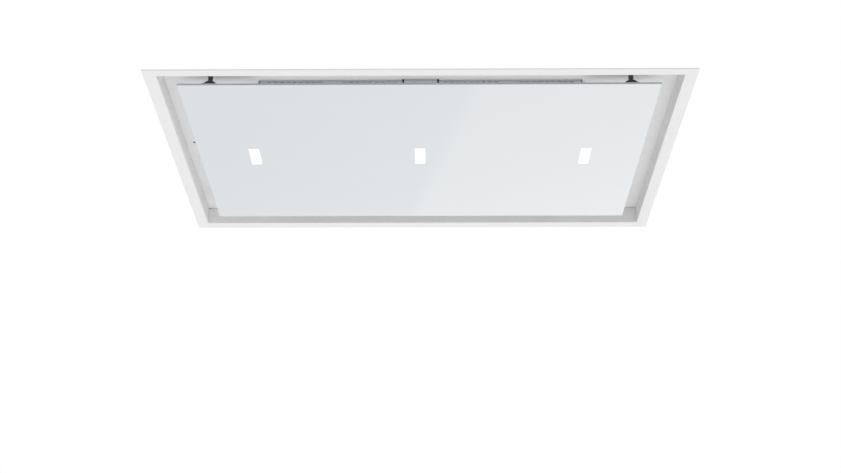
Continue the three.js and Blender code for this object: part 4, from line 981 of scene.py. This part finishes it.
def collar():
    y0, y1 = box("outlet_collar")[2:4]
    x, _, z = centre("outlet_collar")
    radius, sheet, flange, thick, bolts = 75.0, 1.2, 87.0, 1.5, 81.5
    length, inner = y1 - y0, radius - sheet
    profile = [(inner, 0), (flange - 0.4, 0), (flange, 0.4), (flange, thick - 0.4), (flange - 0.4, thick),
               (radius + 2.2, thick), (radius + 0.6, thick + 0.6), (radius, thick + 2.2)]
    for bead in (26.0, 32.0):
        profile += [(radius, bead - 3)]
        profile += [(radius + 1.6 * math.sin(math.pi * k / 8), bead - 2.4 + 4.8 * k / 8) for k in range(9)]
    profile += [(radius, length - 6), (radius - 0.25, length - 5), (radius - 0.25, length - 0.3),
                (radius - 0.5, length), (inner, length)]
    shape = Shape().add(lathe(profile, 96, True), move=towards((0, 1, 0), x, y0, z))
    # lapped seam along the lower side
    seam = bar(-5, 5, 2.4, 22, 0, 0.7, 0.25, 0.6)
    shape.add(seam, move=at(x, y0, z - radius + 0.25) @ Matrix.Rotation(math.pi, 4, "Y"))
    _, axis_y, _ = centre("flap_spindle")
    hole = placed(rod(2.4, -100, 100, 20), at(x, axis_y, z))
    shape.piece("duct_collar", "galvanised", "outlet_collar", carve=[hole], smooth=40)
    places = []
    for k in range(8):
        angle = math.pi / 8 + math.pi / 4 * k
        across, up = bolts * math.cos(angle), bolts * math.sin(angle)
        places.append(towards((0, 1, 0), x + across, y0 + thick, z + up))
    fasteners("duct_collar_screws", pan_screw(2.9, 1.8), places)
    profile = bevelled(0, 2.0, *box("flap_spindle")[4:])
    Shape().add(lathe(profile, 24), move=at(x, axis_y, 0)).piece("flap_rod", "bright_steel", "flap_spindle")


def flaps():
    x, _, z = centre("outlet_collar")
    _, y, _ = centre("flap_spindle")
    radius, sheet, clear, knuckle, bore, pitch = 71.8, 1.2, 4.3, 4.0, 2.3, 30.3
    tube = [(bore, 0.3), (2.6, 0), (knuckle - 0.5, 0), (knuckle, 0.5), (knuckle, 29.5), (knuckle - 0.5, 30),
            (2.6, 30), (bore, 29.7)]
    first = math.asin(clear / radius)
    for name, side in SIDES:
        outline = []
        for i in range(33):
            angle = -math.pi / 2 + first + (math.pi - 2 * first) * i / 32
            outline.append((side * radius * math.cos(angle), radius * math.sin(angle)))
        shape = Shape().add(plate(outline, (), -sheet / 2, sheet / 2, 0.3, 2), move=at(x, y, z) @ ALONG_Y)
        for height in (-42, -21, 0, 21, 42):
            length = math.sqrt((radius - 8) ** 2 - height ** 2) - clear - 5
            middle = x + side * (clear + 3 + length / 2)
            for face in (-1, 1):
                place = towards((0, face, 0), middle, y + face * sheet / 2, z + height)
                shape.add(dome(length, 3.0, 0.8, 3), move=place)
        # the two flaps take turns along the spindle
        for step in (-2, 0) if side > 0 else (-1, 1):
            foot = z + step * pitch + 0.15
            a, b = sorted((x + side * (knuckle - 1.2), x + side * (clear + 1.5)))
            shape.add(bar(a, b, y - sheet / 2, y + sheet / 2, foot, foot + 30, 0.2, 0.3))
            shape.add(lathe(tube, 28, True), move=at(x, y, foot))
        shape.piece(f"flap_{name}_blade", "grey_plastic", f"flap_{name}", f"flap_{name}")


# ---------------------------------------------------------------- electrics on the deck

def control_box():
    x0, x1, y0, y1, z0, z1 = box("control_box")
    wall = 1.5
    gland_x, _, gland_z = centre("cable_gland")
    eye_x, eye_y, _ = centre("receiver_bezel")
    cuts = [
        bar(x0 + wall, x1 - wall, y0 + wall, y1 - wall, z0 + wall, z1 + 2, 0.6, 2.0),
        placed(rod(8.3, -6, 6), towards((0, 1, 0), gland_x, y0, gland_z)),
        placed(rod(3.2, -3, 3), at(eye_x, eye_y, z0)),
    ]
    slot = plate(slot_outline(0, 0, 20, 2.6, 4), (), -3, 3, 0.02, 1)
    for k in range(9):
        cuts.append(placed(slot, at(x0, 32 + 7.5 * k, z0 + 24) @ towards((-1, 0, 0), up=(0, 1, 0))))
    shape = Shape().add(bar(x0, x1, y0, y1, z0, z1, 0.8, 3.0, 3))
    for y in (y0 + 40, 0, y1 - 40):
        shape.add(bar(x1 - 0.6, x1 + 0.9, y - 1.2, y + 1.2, z0 + 3, z1 - 10, 0.3, 0.5))
    shape.piece("control_case", "grey_plastic", "control_box", carve=cuts)

    x0, x1, y0, y1, z0, z1 = box("control_box_lid")
    corners = [(x, y) for x in (x0 + 8, x1 - 8) for y in (y0 + 8, y1 - 8)]
    cuts = [bar(x0 + wall, x1 - wall, y0 + wall, y1 - wall, z0 - 2, z1 - wall, 0.3, 2.5)]
    cuts += [placed(rod(4.2, -0.9, 2), at(x, y, z1)) for x, y in corners]
    Shape().add(bar(x0, x1, y0, y1, z0, z1, 0.9, 3.6, 3)).piece(
        "control_lid", "grey_plastic", "control_box_lid", carve=cuts)
    fasteners("control_lid_screws", pan_screw(3.4, 0.8), [at(x, y, z1 - 0.88) for x, y in corners])


def gland():
    y0, y1 = box("cable_gland")[2:4]
    x, _, z = centre("cable_gland")
    radius, bore, length, neck, turns = 11.0, 4.5, 20.0, 8.4, 7
    place = towards((0, 1, 0), x, y0, z)
    # cap nut, its collar and neck, and the hexagon of the body
    nut = plate(circle(0, 0, radius * 0.93, 6), [circle(0, 0, bore + 1.6, 20)], 1.5, 9, 1.0, 3)
    shape = Shape().add(nut, move=place)
    profile = [(bore + 1.4, 0.8), (bore + 1.9, 0), (7.0, 0), (8.6, 1.8), (8.6, 3), (bore + 1.4, 3)]
    shape.add(lathe(profile, 32, True), move=place)
    shape.add(lathe([(bore, 9), (bore, length - 6), (neck, length - 6), (neck, 9)], 32, True), move=place)
    hexagon = plate(circle(0, 0, radius, 6), [circle(0, 0, bore, 20)], length - 7, length - 0.3, 0.5, 2)
    shape.add(hexagon, move=place)
    # thread inside the box
    foot, end = length - 0.5, y1 - y0
    thread = [(bore, foot)]
    for k in range(turns):
        thread += [(7.2, foot + (end - foot) * k / turns), (7.9, foot + (end - foot) * (k + 0.5) / turns)]
    thread += [(7.2, end), (bore, end)]
    shape.add(lathe(thread, 32, True), move=place)
    # rubber ring
    seal = [(bore - 0.05, 0.5), (bore + 1.5, 0.5), (bore + 1.5, 8), (bore - 0.05, 8)]
    shape.add(lathe(seal, 28, True), 1, move=place)
    shape.piece("gland", "black_plastic rubber", "cable_gland")


def driver():
    x0, x1, y0, y1, z0, z1 = box("led_driver")
    body0, body1, middle = y0 + 10, y1 - 10, (x0 + x1) / 2
    shape = Shape().add(bar(x0, x1, body0 + 24, body1 - 24, z0, z1, 1.2, 3.0, 3))
    for a, b in ((body0, body0 + 26), (body1 - 26, body1)):
        shape.add(bar(x0 + 0.6, x1 - 0.6, a, b, z0, z1 - 5, 1.2, 2.5, 3))
    for k in range(7):
        x = x0 + 9 + k * (x1 - x0 - 18) / 6
        shape.add(bar(x - 0.9, x + 0.9, body0 + 30, body1 - 30, z1 - 0.9, z1, 0.3, 0.7))
    places = []
    for end, inside in ((y0, 1), (y1, -1)):
        tab = rounded(x0 + 14, x1 - 14, *sorted((end, end + inside * 12)), 3)
        seat = end + inside * 5
        shape.add(plate(tab, [slot_outline(middle, seat, 10, 4.6)], z0, z0 + 2, 0.3, 2))
        places.append(at(middle, seat, z0 + 1.9))
    # holes for the leads, two in one end and four in the other, with a hole for a clamp screw over each
    cuts = []
    for end, out, count in ((body0, -1, 2), (body1, 1, 4)):
        for k in range(count):
            x = middle + (k - (count - 1) / 2) * 10
            cuts.append(placed(rod(2.6, -4, 4, 16), towards((0, out, 0), x, end, z0 + 10)))
            cuts.append(placed(rod(2.4, -3, 3, 16), at(x, end - out * 8, z1 - 5)))
    shape.piece("driver_case", "lamp_shell", "led_driver", carve=cuts)
    fasteners("driver_screws", pan_screw(3.6, 2.0), places)


# ---------------------------------------------------------------- blower

def fan_wheel():
    x0, x1, _, _, z0, z1 = box("impeller")
    x, y, _ = centre("impeller")
    place = at(x, y, 0)
    radius, bore, hub, sheet, width = (x1 - x0) / 2, 4.1, 14.0, 1.6, 18.0
    foot = z1 - sheet
    disc = [(bore, z1 - 10), (hub - 0.8, z1 - 10), (hub, z1 - 9.2), (hub, foot - 1.5), (hub + 1.5, foot),
            (radius - 0.4, foot), (radius, foot + 0.4), (radius, z1 - 0.4), (radius - 0.4, z1), (bore, z1)]
    shape = Shape().add(lathe(disc, 84, True), move=place)
    shape.add(lathe(bevelled(radius - width, radius, z0, z0 + sheet), 84, True), move=place)
    # stiffening beads on the disc, and the rivets of the hub
    for reach in (45, 75):
        bead = [(reach - 3, z1 - 0.1), (reach + 3, z1 - 0.1), (reach + 2.2, z1 + 0.7), (reach, z1 + 1.1),
                (reach - 2.2, z1 + 0.7)]
        shape.add(lathe(bead, 84, True), move=place)
    for k in range(4):
        angle = math.pi / 4 + math.pi / 2 * k
        shape.add(rivet(1.6, 0.9), 1, move=at(x + 9 * math.cos(angle), y + 9 * math.sin(angle), z1))
    # curved blades between the ring and the disc
    blades, steps = 28, 6
    for k in range(blades):
        line = []
        for step in range(steps + 1):
            t = step / steps
            reach = radius - 15.5 + 13 * t
            angle = 2 * math.pi * k / blades + 0.08 * (t - 0.5) + 0.088 * t * (1 - t)
            line.append((reach * math.cos(angle), reach * math.sin(angle)))
        outline = moved(line, 0.6, False) + moved(line, -0.6, False)[::-1]
        shape.add(plate(outline, (), z0 + sheet - 0.1, foot + 0.1, 0.1, 1), move=place)
    shape.piece("fan_wheel", "grey_plastic bright_steel", "impeller", ROTOR, smooth=35)


def motor():
    x0, x1, _, _, z0, z1 = box("motor")
    x, y, _ = centre("motor")
    place = at(x, y, 0)
    radius, bore, bolts = (x1 - x0) / 2, 4.4, 43
    can = [(0, z0 + 24), (bore, z0 + 24), (bore, z0), (radius - 0.8, z0), (radius, z0 + 0.8),
           (radius, z0 + 5), (radius - 1.4, z0 + 6), (radius - 1.4, z1 - 11), (radius - 0.4, z1 - 10.4),
           (radius - 0.4, z1 - 7.5), (radius - 4.5, z1 - 3.4), (22, z1 - 2.4), (18.5, z1 - 2.2),
           (17.5, z1 - 0.5), (17, z1), (0, z1)]
    shape = Shape().add(lathe(can, 96), move=place)
    for k in range(4):
        angle = math.pi / 16 + math.pi / 2 * k
        spot = at(x + bolts * math.cos(angle), y + bolts * math.sin(angle), z1 - 3.3)
        shape.add(hex_bolt(2.6, 2.2, 3.6), 1, move=spot)
    # cooling slots in the crown
    slot = plate(slot_outline(31, 0, 15, 3.2, 4), (), z1 - 5.5, z1 + 2, 0.02, 1)
    cuts = [placed(slot, place @ Matrix.Rotation(2 * math.pi * k / 16, 4, "Z")) for k in range(16)]
    shape.piece("fan_motor", "motor_paint zinc_screw", "motor", carve=cuts, smooth=35)

    x0, x1, _, _, z0, z1 = box("motor_bracket")
    shape = Shape().add(lathe(bevelled(22.0, (x1 - x0) / 2, z0, z1), 96, True), move=place)
    for k in (1, 2, 3):
        mount_x, mount_y, _ = centre(f"motor_mount_{k}")
        shape.add(hex_bolt(3.4, 3.0, 5.4), 1, move=at(mount_x, mount_y, z1 - 0.05))
    shape.piece("motor_plate", "galvanised zinc_screw", "motor_bracket")

    for k in (1, 2, 3):
        x0, x1, _, _, z0, z1 = box(f"motor_mount_{k}")
        x, y, _ = centre(f"motor_mount_{k}")
        rim = (x1 - x0) / 2
        buffer = [(0, z0), (rim - 0.6, z0), (rim, z0 + 0.5), (rim, z0 + 1.3), (rim - 0.9, z0 + 1.9),
                  (rim - 0.9, z1 - 1.9), (rim, z1 - 1.3), (rim, z1 - 0.5), (rim - 0.6, z1), (0, z1)]
        Shape().add(lathe(buffer, 36), move=at(x, y, 0)).piece(
            f"motor_buffer_{k}", "rubber", f"motor_mount_{k}")

    x0, x1, _, _, z0, z1 = box("motor_shaft")
    x, y, _ = centre("motor_shaft")
    rim = (x1 - x0) / 2
    shaft = [(0, z0), (rim - 0.6, z0), (rim, z0 + 0.6), (rim, z0 + 2.4), (rim - 0.5, z0 + 2.5),
             (rim - 0.5, z0 + 3.3), (rim, z0 + 3.4), (rim, z1 - 0.6), (rim - 0.6, z1), (0, z1)]
    Shape().add(lathe(shaft, 36), move=at(x, y, 0)).piece("fan_shaft", "bright_steel", "motor_shaft", ROTOR)


def control_board():
    x0, x1, y0, y1, z0, top = box("control_board")
    thick, inset = 1.6, 10
    board, nylon, metal, black, dark, bare = range(6)
    shape = Shape().add(plate(rounded(x0, x1, y0, y1, 2), (), top - thick, top, 0.1, 1), board)
    for x in (x0 + inset, x1 - inset):
        for y in (y0 + inset, y1 - inset):
            shape.add(rod(3, z0, top - thick, 20), nylon, move=at(x, y, 0))
            shape.add(pan_screw(2.6, 1.5), metal, move=at(x, y, top))
    # place on the board, then width, depth, height and material of each block
    blocks = [
        (45, 46, 30, 30, 24, dark), (45, 46, 42, 20, 17, black), (45, 106, 10, 26, 3.2, black),
        (30, 172, 26, 8, 9, nylon), (64, 172, 18, 8, 9, nylon), (45, 142, 26, 15, 3, bare),
        (74, 60, 8, 22, 11, black),
    ]
    blocks += [(19, 84 + 24 * k, 14, 20, 16, black) for k in range(3)]
    blocks += [(35 + 4 * k, 142, 1.2, 15, 20, bare) for k in range(6)]
    blocks += [(45 + side * 6, 95 + 2.54 * k, 2.6, 0.8, 1.4, metal) for side in (-1, 1) for k in range(10)]
    for x, y, width, depth, height, mark in blocks:
        x, y = x + x0, y + y0
        edge = min(width, depth, height) * 0.12
        shape.add(bar(x - width / 2, x + width / 2, y - depth / 2, y + depth / 2, top - 0.05, top + height,
                      edge), mark)
    # upright cans with a bare top, and small parts that lie down
    for x, y, radius, height in ((70, 88, 9, 25), (68, 110, 6, 17), (68, 126, 6, 17), (70, 148, 5, 13)):
        can = [(0, 0), (radius - 0.5, 0), (radius, 0.5), (radius, 2), (radius - 0.5, 2.5), (radius, 3),
               (radius, height - 0.7), (radius - 0.7, height), (0, height)]
        shape.add(lathe(can, 32), dark, move=at(x0 + x, y0 + y, top))
        shape.add(rod(radius - 1.2, 0, 0.15, 32), bare, move=at(x0 + x, y0 + y, top + height))
    small = [(0, -3.2), (1.2, -3.2), (1.5, -2.6), (1.5, -1.8), (1.2, -1.4), (1.2, 1.4), (1.5, 1.8),
             (1.5, 2.6), (1.2, 3.2), (0, 3.2)]
    for k in range(7):
        place = towards((1, 0, 0), x0 + 45, y0 + 70 + 3.6 * k, top + 1.6)
        shape.add(lathe(small, 14), nylon, move=place)
    shape.piece("control_circuit", "board lamp_shell zinc_screw black_plastic motor_paint aluminium",
                "control_board", smooth=35)


def terminals():
    x0, x1, y0, y1, z0, z1 = box("terminal_block")
    ways, well = 3, 5.0
    pitch = (x1 - x0) / ways
    y = (y0 + y1) / 2
    places, cuts = [], []
    for k in range(ways):
        x = x0 + pitch * (k + 0.5)
        cuts.append(placed(rod(3.5, -well, 1), at(x, y, z1)))
        for face in (y0 - 1, y1 - 5):
            cuts.append(bar(x - 3.4, x + 3.4, face, face + 6, z0 + 2.5, z0 + 8.5, 0.3, 1.0))
        places.append(at(x, y, z1 - well - 0.05))
    for k in range(1, ways):
        x = x0 + pitch * k
        cuts.append(bar(x - 0.7, x + 0.7, y0 - 1, y1 + 1, z1 - 6, z1 + 1, 0.2))
    Shape().add(bar(x0, x1, y0, y1, z0, z1, 0.5, 0.8)).piece(
        "terminals", "lamp_shell", "terminal_block", carve=cuts)
    fasteners("terminal_screws", pan_screw(3.1, 1.8), places)


def scroll():
    """The blower's housing keeps its CAD shape and takes a material."""
    for node in ("scroll_housing", "scroll_cover"):
        for holder in bpy.data.objects[node].material_slots:
            holder.material = MATERIALS["galvanised"]


# ---------------------------------------------------------------- stage, light and camera: lengths in metres

REACH, FLOOR_LEVEL = 14.0, -4.2  # half size of the floor and the ceiling, and the floor's height
OPENING_X, OPENING_Y, CEILING_LEVEL = 0.4785, 0.3285, 0.0004  # half sizes of the recess's opening

CARD_X, CARD_Y, CARD_MIDDLE_Y = 2.9, 2.3, 8.35  # half sizes of the card, and its middle
CARD_LEVEL = FLOOR_LEVEL + 0.05
CARD_FADE = 0.7  # width of its rim, over which it grows clear
CARD_LEFT = (0.53, 0.64, 0.735)
CARD_RIGHT = (0.87, 0.91, 0.94)
# The tones meet at x = CARD_EDGE_START + CARD_EDGE_SLOPE * y, within CARD_EDGE_SOFT of that
CARD_EDGE_START, CARD_EDGE_SLOPE, CARD_EDGE_SOFT = 1.865, -0.21, 0.06
# Both change with these weights of x and y, by at most CARD_GRADE_REACH either way
CARD_GRADE, CARD_GRADE_MIDDLE, CARD_GRADE_REACH = (0.12, 0.115), 0.115 * 8.3, 0.34

# Studio light by direction: WORLD_LEVEL + WORLD_POLES * z^2 + WORLD_SIDE * x + WORLD_DEPTH * y
WORLD_LEVEL, WORLD_POLES, WORLD_SIDE, WORLD_DEPTH = 0.66, 0.68, 0.26, 0.06

RECESS_FILL = 1.80  # watts to the square metre
RECESS_LAMP_LEVEL = 0.0175
RECESS_LAMPS = (("recess_fill", -0.440, 0.433, -0.25, 0.22), ("far_fill", -0.40, 0.37, 0.22, 0.293),
                ("filter_fill", -0.307, 0.307, -0.283, -0.25))

CAMERA_PLACE = (0.0132, -2.5605, -1.2827)
CAMERA_TILT, CAMERA_TURN = 23.366, 0.332  # degrees above the horizon, and towards the left
CAMERA_SENSOR, CAMERA_LENS = 36.0, 60.73  # millimetres


def flat(name, points, faces, material, camera_sees=True, glossy=False, transmission=True):
    """A flat piece of the stage. It throws no shadow and no bounced light on the hood."""
    mesh = bpy.data.meshes.new(name)
    mesh.from_pydata(points, [], faces)
    mesh.materials.append(material)
    made = bpy.data.objects.new(name, mesh)
    bpy.context.scene.collection.objects.link(made)
    made.visible_camera = camera_sees
    made.visible_diffuse = False
    made.visible_glossy = glossy
    made.visible_transmission = transmission
    made.visible_shadow = False


def floor():
    paint = bpy.data.materials.new("floor")
    surface = Graph(paint, empty=False).nodes["Principled BSDF"]
    surface.inputs["Base Color"].default_value = (0.98, 0.98, 0.98, 1)
    surface.inputs["Roughness"].default_value = 0.9
    corners = [(x, y, FLOOR_LEVEL) for x, y in rectangle(-REACH, REACH, -REACH, REACH)]
    flat("floor", corners, [(0, 1, 2, 3)], paint)


def ceiling():
    """The ceiling that the hood is set in, white from below and clear from above, open at the recess."""
    paint = bpy.data.materials.new("ceiling")
    graph = Graph(paint)
    back = graph.add("NewGeometry").outputs["Backfacing"]
    white = graph.add("Emission").outputs["Emission"]
    clear = graph.add("BsdfTransparent").outputs["BSDF"]
    graph.join(graph.add("OutputMaterial").inputs["Surface"], graph.mixed(back, white, clear))
    outline = rectangle(-REACH, REACH, -REACH, REACH)
    outline += rectangle(-OPENING_X, OPENING_X, -OPENING_Y, OPENING_Y)
    faces = [(i, 4 + i, 4 + (i + 1) % 4, (i + 1) % 4) for i in range(4)]
    flat("ceiling", [(x, y, CEILING_LEVEL) for x, y in outline], faces, paint, transmission=False)


def card():
    """Graded card over the floor, seen only in reflections, whose slanting edge gives the glass two tones."""
    tone = bpy.data.materials.new("graded_card")
    graph = Graph(tone)
    x, y, _ = graph.axes("Object")

    def weighted(x_weight, y_weight):
        return graph.math("MULTIPLY_ADD", x, x_weight, graph.math("MULTIPLY", y, y_weight))

    def inside(distance, half):
        return graph.ranged(distance, half - CARD_FADE, half, 1, 0)

    right = graph.ranged(weighted(1.0, -CARD_EDGE_SLOPE), CARD_EDGE_START - CARD_EDGE_SOFT,
                         CARD_EDGE_START + CARD_EDGE_SOFT, 0, 1)
    grade = graph.ranged(weighted(*CARD_GRADE), CARD_GRADE_MIDDLE - CARD_GRADE_REACH,
                         CARD_GRADE_MIDDLE + CARD_GRADE_REACH, -CARD_GRADE_REACH, CARD_GRADE_REACH)
    lift = graph.add("VectorMath")
    lift.operation = "ADD"
    graph.join(lift.inputs[0], graph.colours(right, CARD_LEFT, CARD_RIGHT))
    graph.join(lift.inputs[1], grade)
    glow = graph.add("Emission")
    graph.join(glow.inputs["Color"], lift.outputs["Vector"])
    away_x = graph.math("ABSOLUTE", x)
    away_y = graph.math("ABSOLUTE", graph.math("SUBTRACT", y, CARD_MIDDLE_Y))
    solid = graph.math("MULTIPLY", inside(away_x, CARD_X), inside(away_y, CARD_Y))
    clear = graph.add("BsdfTransparent").outputs["BSDF"]
    graph.join(graph.add("OutputMaterial").inputs["Surface"],
               graph.mixed(solid, clear, glow.outputs["Emission"]))
    outline = rectangle(-CARD_X, CARD_X, CARD_MIDDLE_Y - CARD_Y, CARD_MIDDLE_Y + CARD_Y)
    flat("graded_card", [(x, y, CARD_LEVEL) for x, y in outline], [(0, 1, 2, 3)], tone,
         camera_sees=False, glossy=True, transmission=False)


def recess_fill():
    """Soft lamps over the back of the glass, for the light that a studio's bounce boards throw into the gap.

    They go with the panel, so they don't burn out the deck when it hangs open.
    """
    for name, x0, x1, y0, y1 in RECESS_LAMPS:
        data = bpy.data.lights.new(name, "AREA")
        data.shape = "RECTANGLE"
        data.size, data.size_y = x1 - x0, y1 - y0
        data.energy = RECESS_FILL * (x1 - x0) * (y1 - y0)
        made = bpy.data.objects.new(name, data)
        made.location = ((x0 + x1) / 2, (y0 + y1) / 2, RECESS_LAMP_LEVEL)
        made.rotation_euler = (math.pi, 0, 0)
        made.visible_camera = False
        made.visible_glossy = False
        bpy.context.scene.collection.objects.link(made)
        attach(made, PANEL)


def world():
    """White to the camera; light that varies with direction to all else, held within 0.5 to 1 in gloss."""
    sky = bpy.data.worlds.new("studio")
    bpy.context.scene.world = sky
    graph = Graph(sky)
    backdrop, light = graph.add("Background"), graph.add("Background")
    for background in (backdrop, light):
        background.inputs["Color"].default_value = (1, 1, 1, 1)
    backdrop.inputs["Strength"].default_value = 1.0
    path = graph.add("LightPath").outputs
    x, y, z = graph.axes("Generated")
    total = graph.math("MULTIPLY_ADD", graph.math("MULTIPLY", z, z), WORLD_POLES, WORLD_LEVEL)
    total = graph.math("MULTIPLY_ADD", x, WORLD_SIDE, total)
    total = graph.math("MULTIPLY_ADD", y, WORLD_DEPTH, total)
    glossy = graph.math("MINIMUM", graph.math("MAXIMUM", total, 0.5), 1.0)
    chosen = graph.add("Mix")
    chosen.data_type = "FLOAT"
    shine = graph.math("MAXIMUM", path["Is Glossy Ray"], path["Is Transmission Ray"])
    for index, value in ((0, shine), (2, total), (3, glossy)):
        graph.join(chosen.inputs[index], value)
    graph.join(light.inputs["Strength"], chosen.outputs[0])
    seen = graph.mixed(path["Is Camera Ray"], light.outputs["Background"], backdrop.outputs["Background"])
    graph.join(graph.add("OutputWorld").inputs["Surface"], seen)


def camera():
    data = bpy.data.cameras.new("camera")
    data.sensor_width = CAMERA_SENSOR
    data.lens = CAMERA_LENS
    data.clip_end = 100.0
    made = bpy.data.objects.new("camera", data)
    made.location = CAMERA_PLACE
    made.rotation_euler = (math.radians(90 + CAMERA_TILT), 0, math.radians(CAMERA_TURN))
    bpy.context.scene.collection.objects.link(made)
    bpy.context.scene.camera = made


bpy.context.scene.view_settings.view_transform = "Standard"
for build in (
    camera, floor, ceiling, card, world, recess_fill,
    trim_frame, deck, receiver, bridge, filter_frames, filter_meshes, filter_rails, latches,
    glass, lamps, panel_rails, catches, hinges, casing, casing_top, hangers, collar, flaps,
    control_box, gland, driver, fan_wheel, motor, control_board, terminals, scroll,
):
    build()
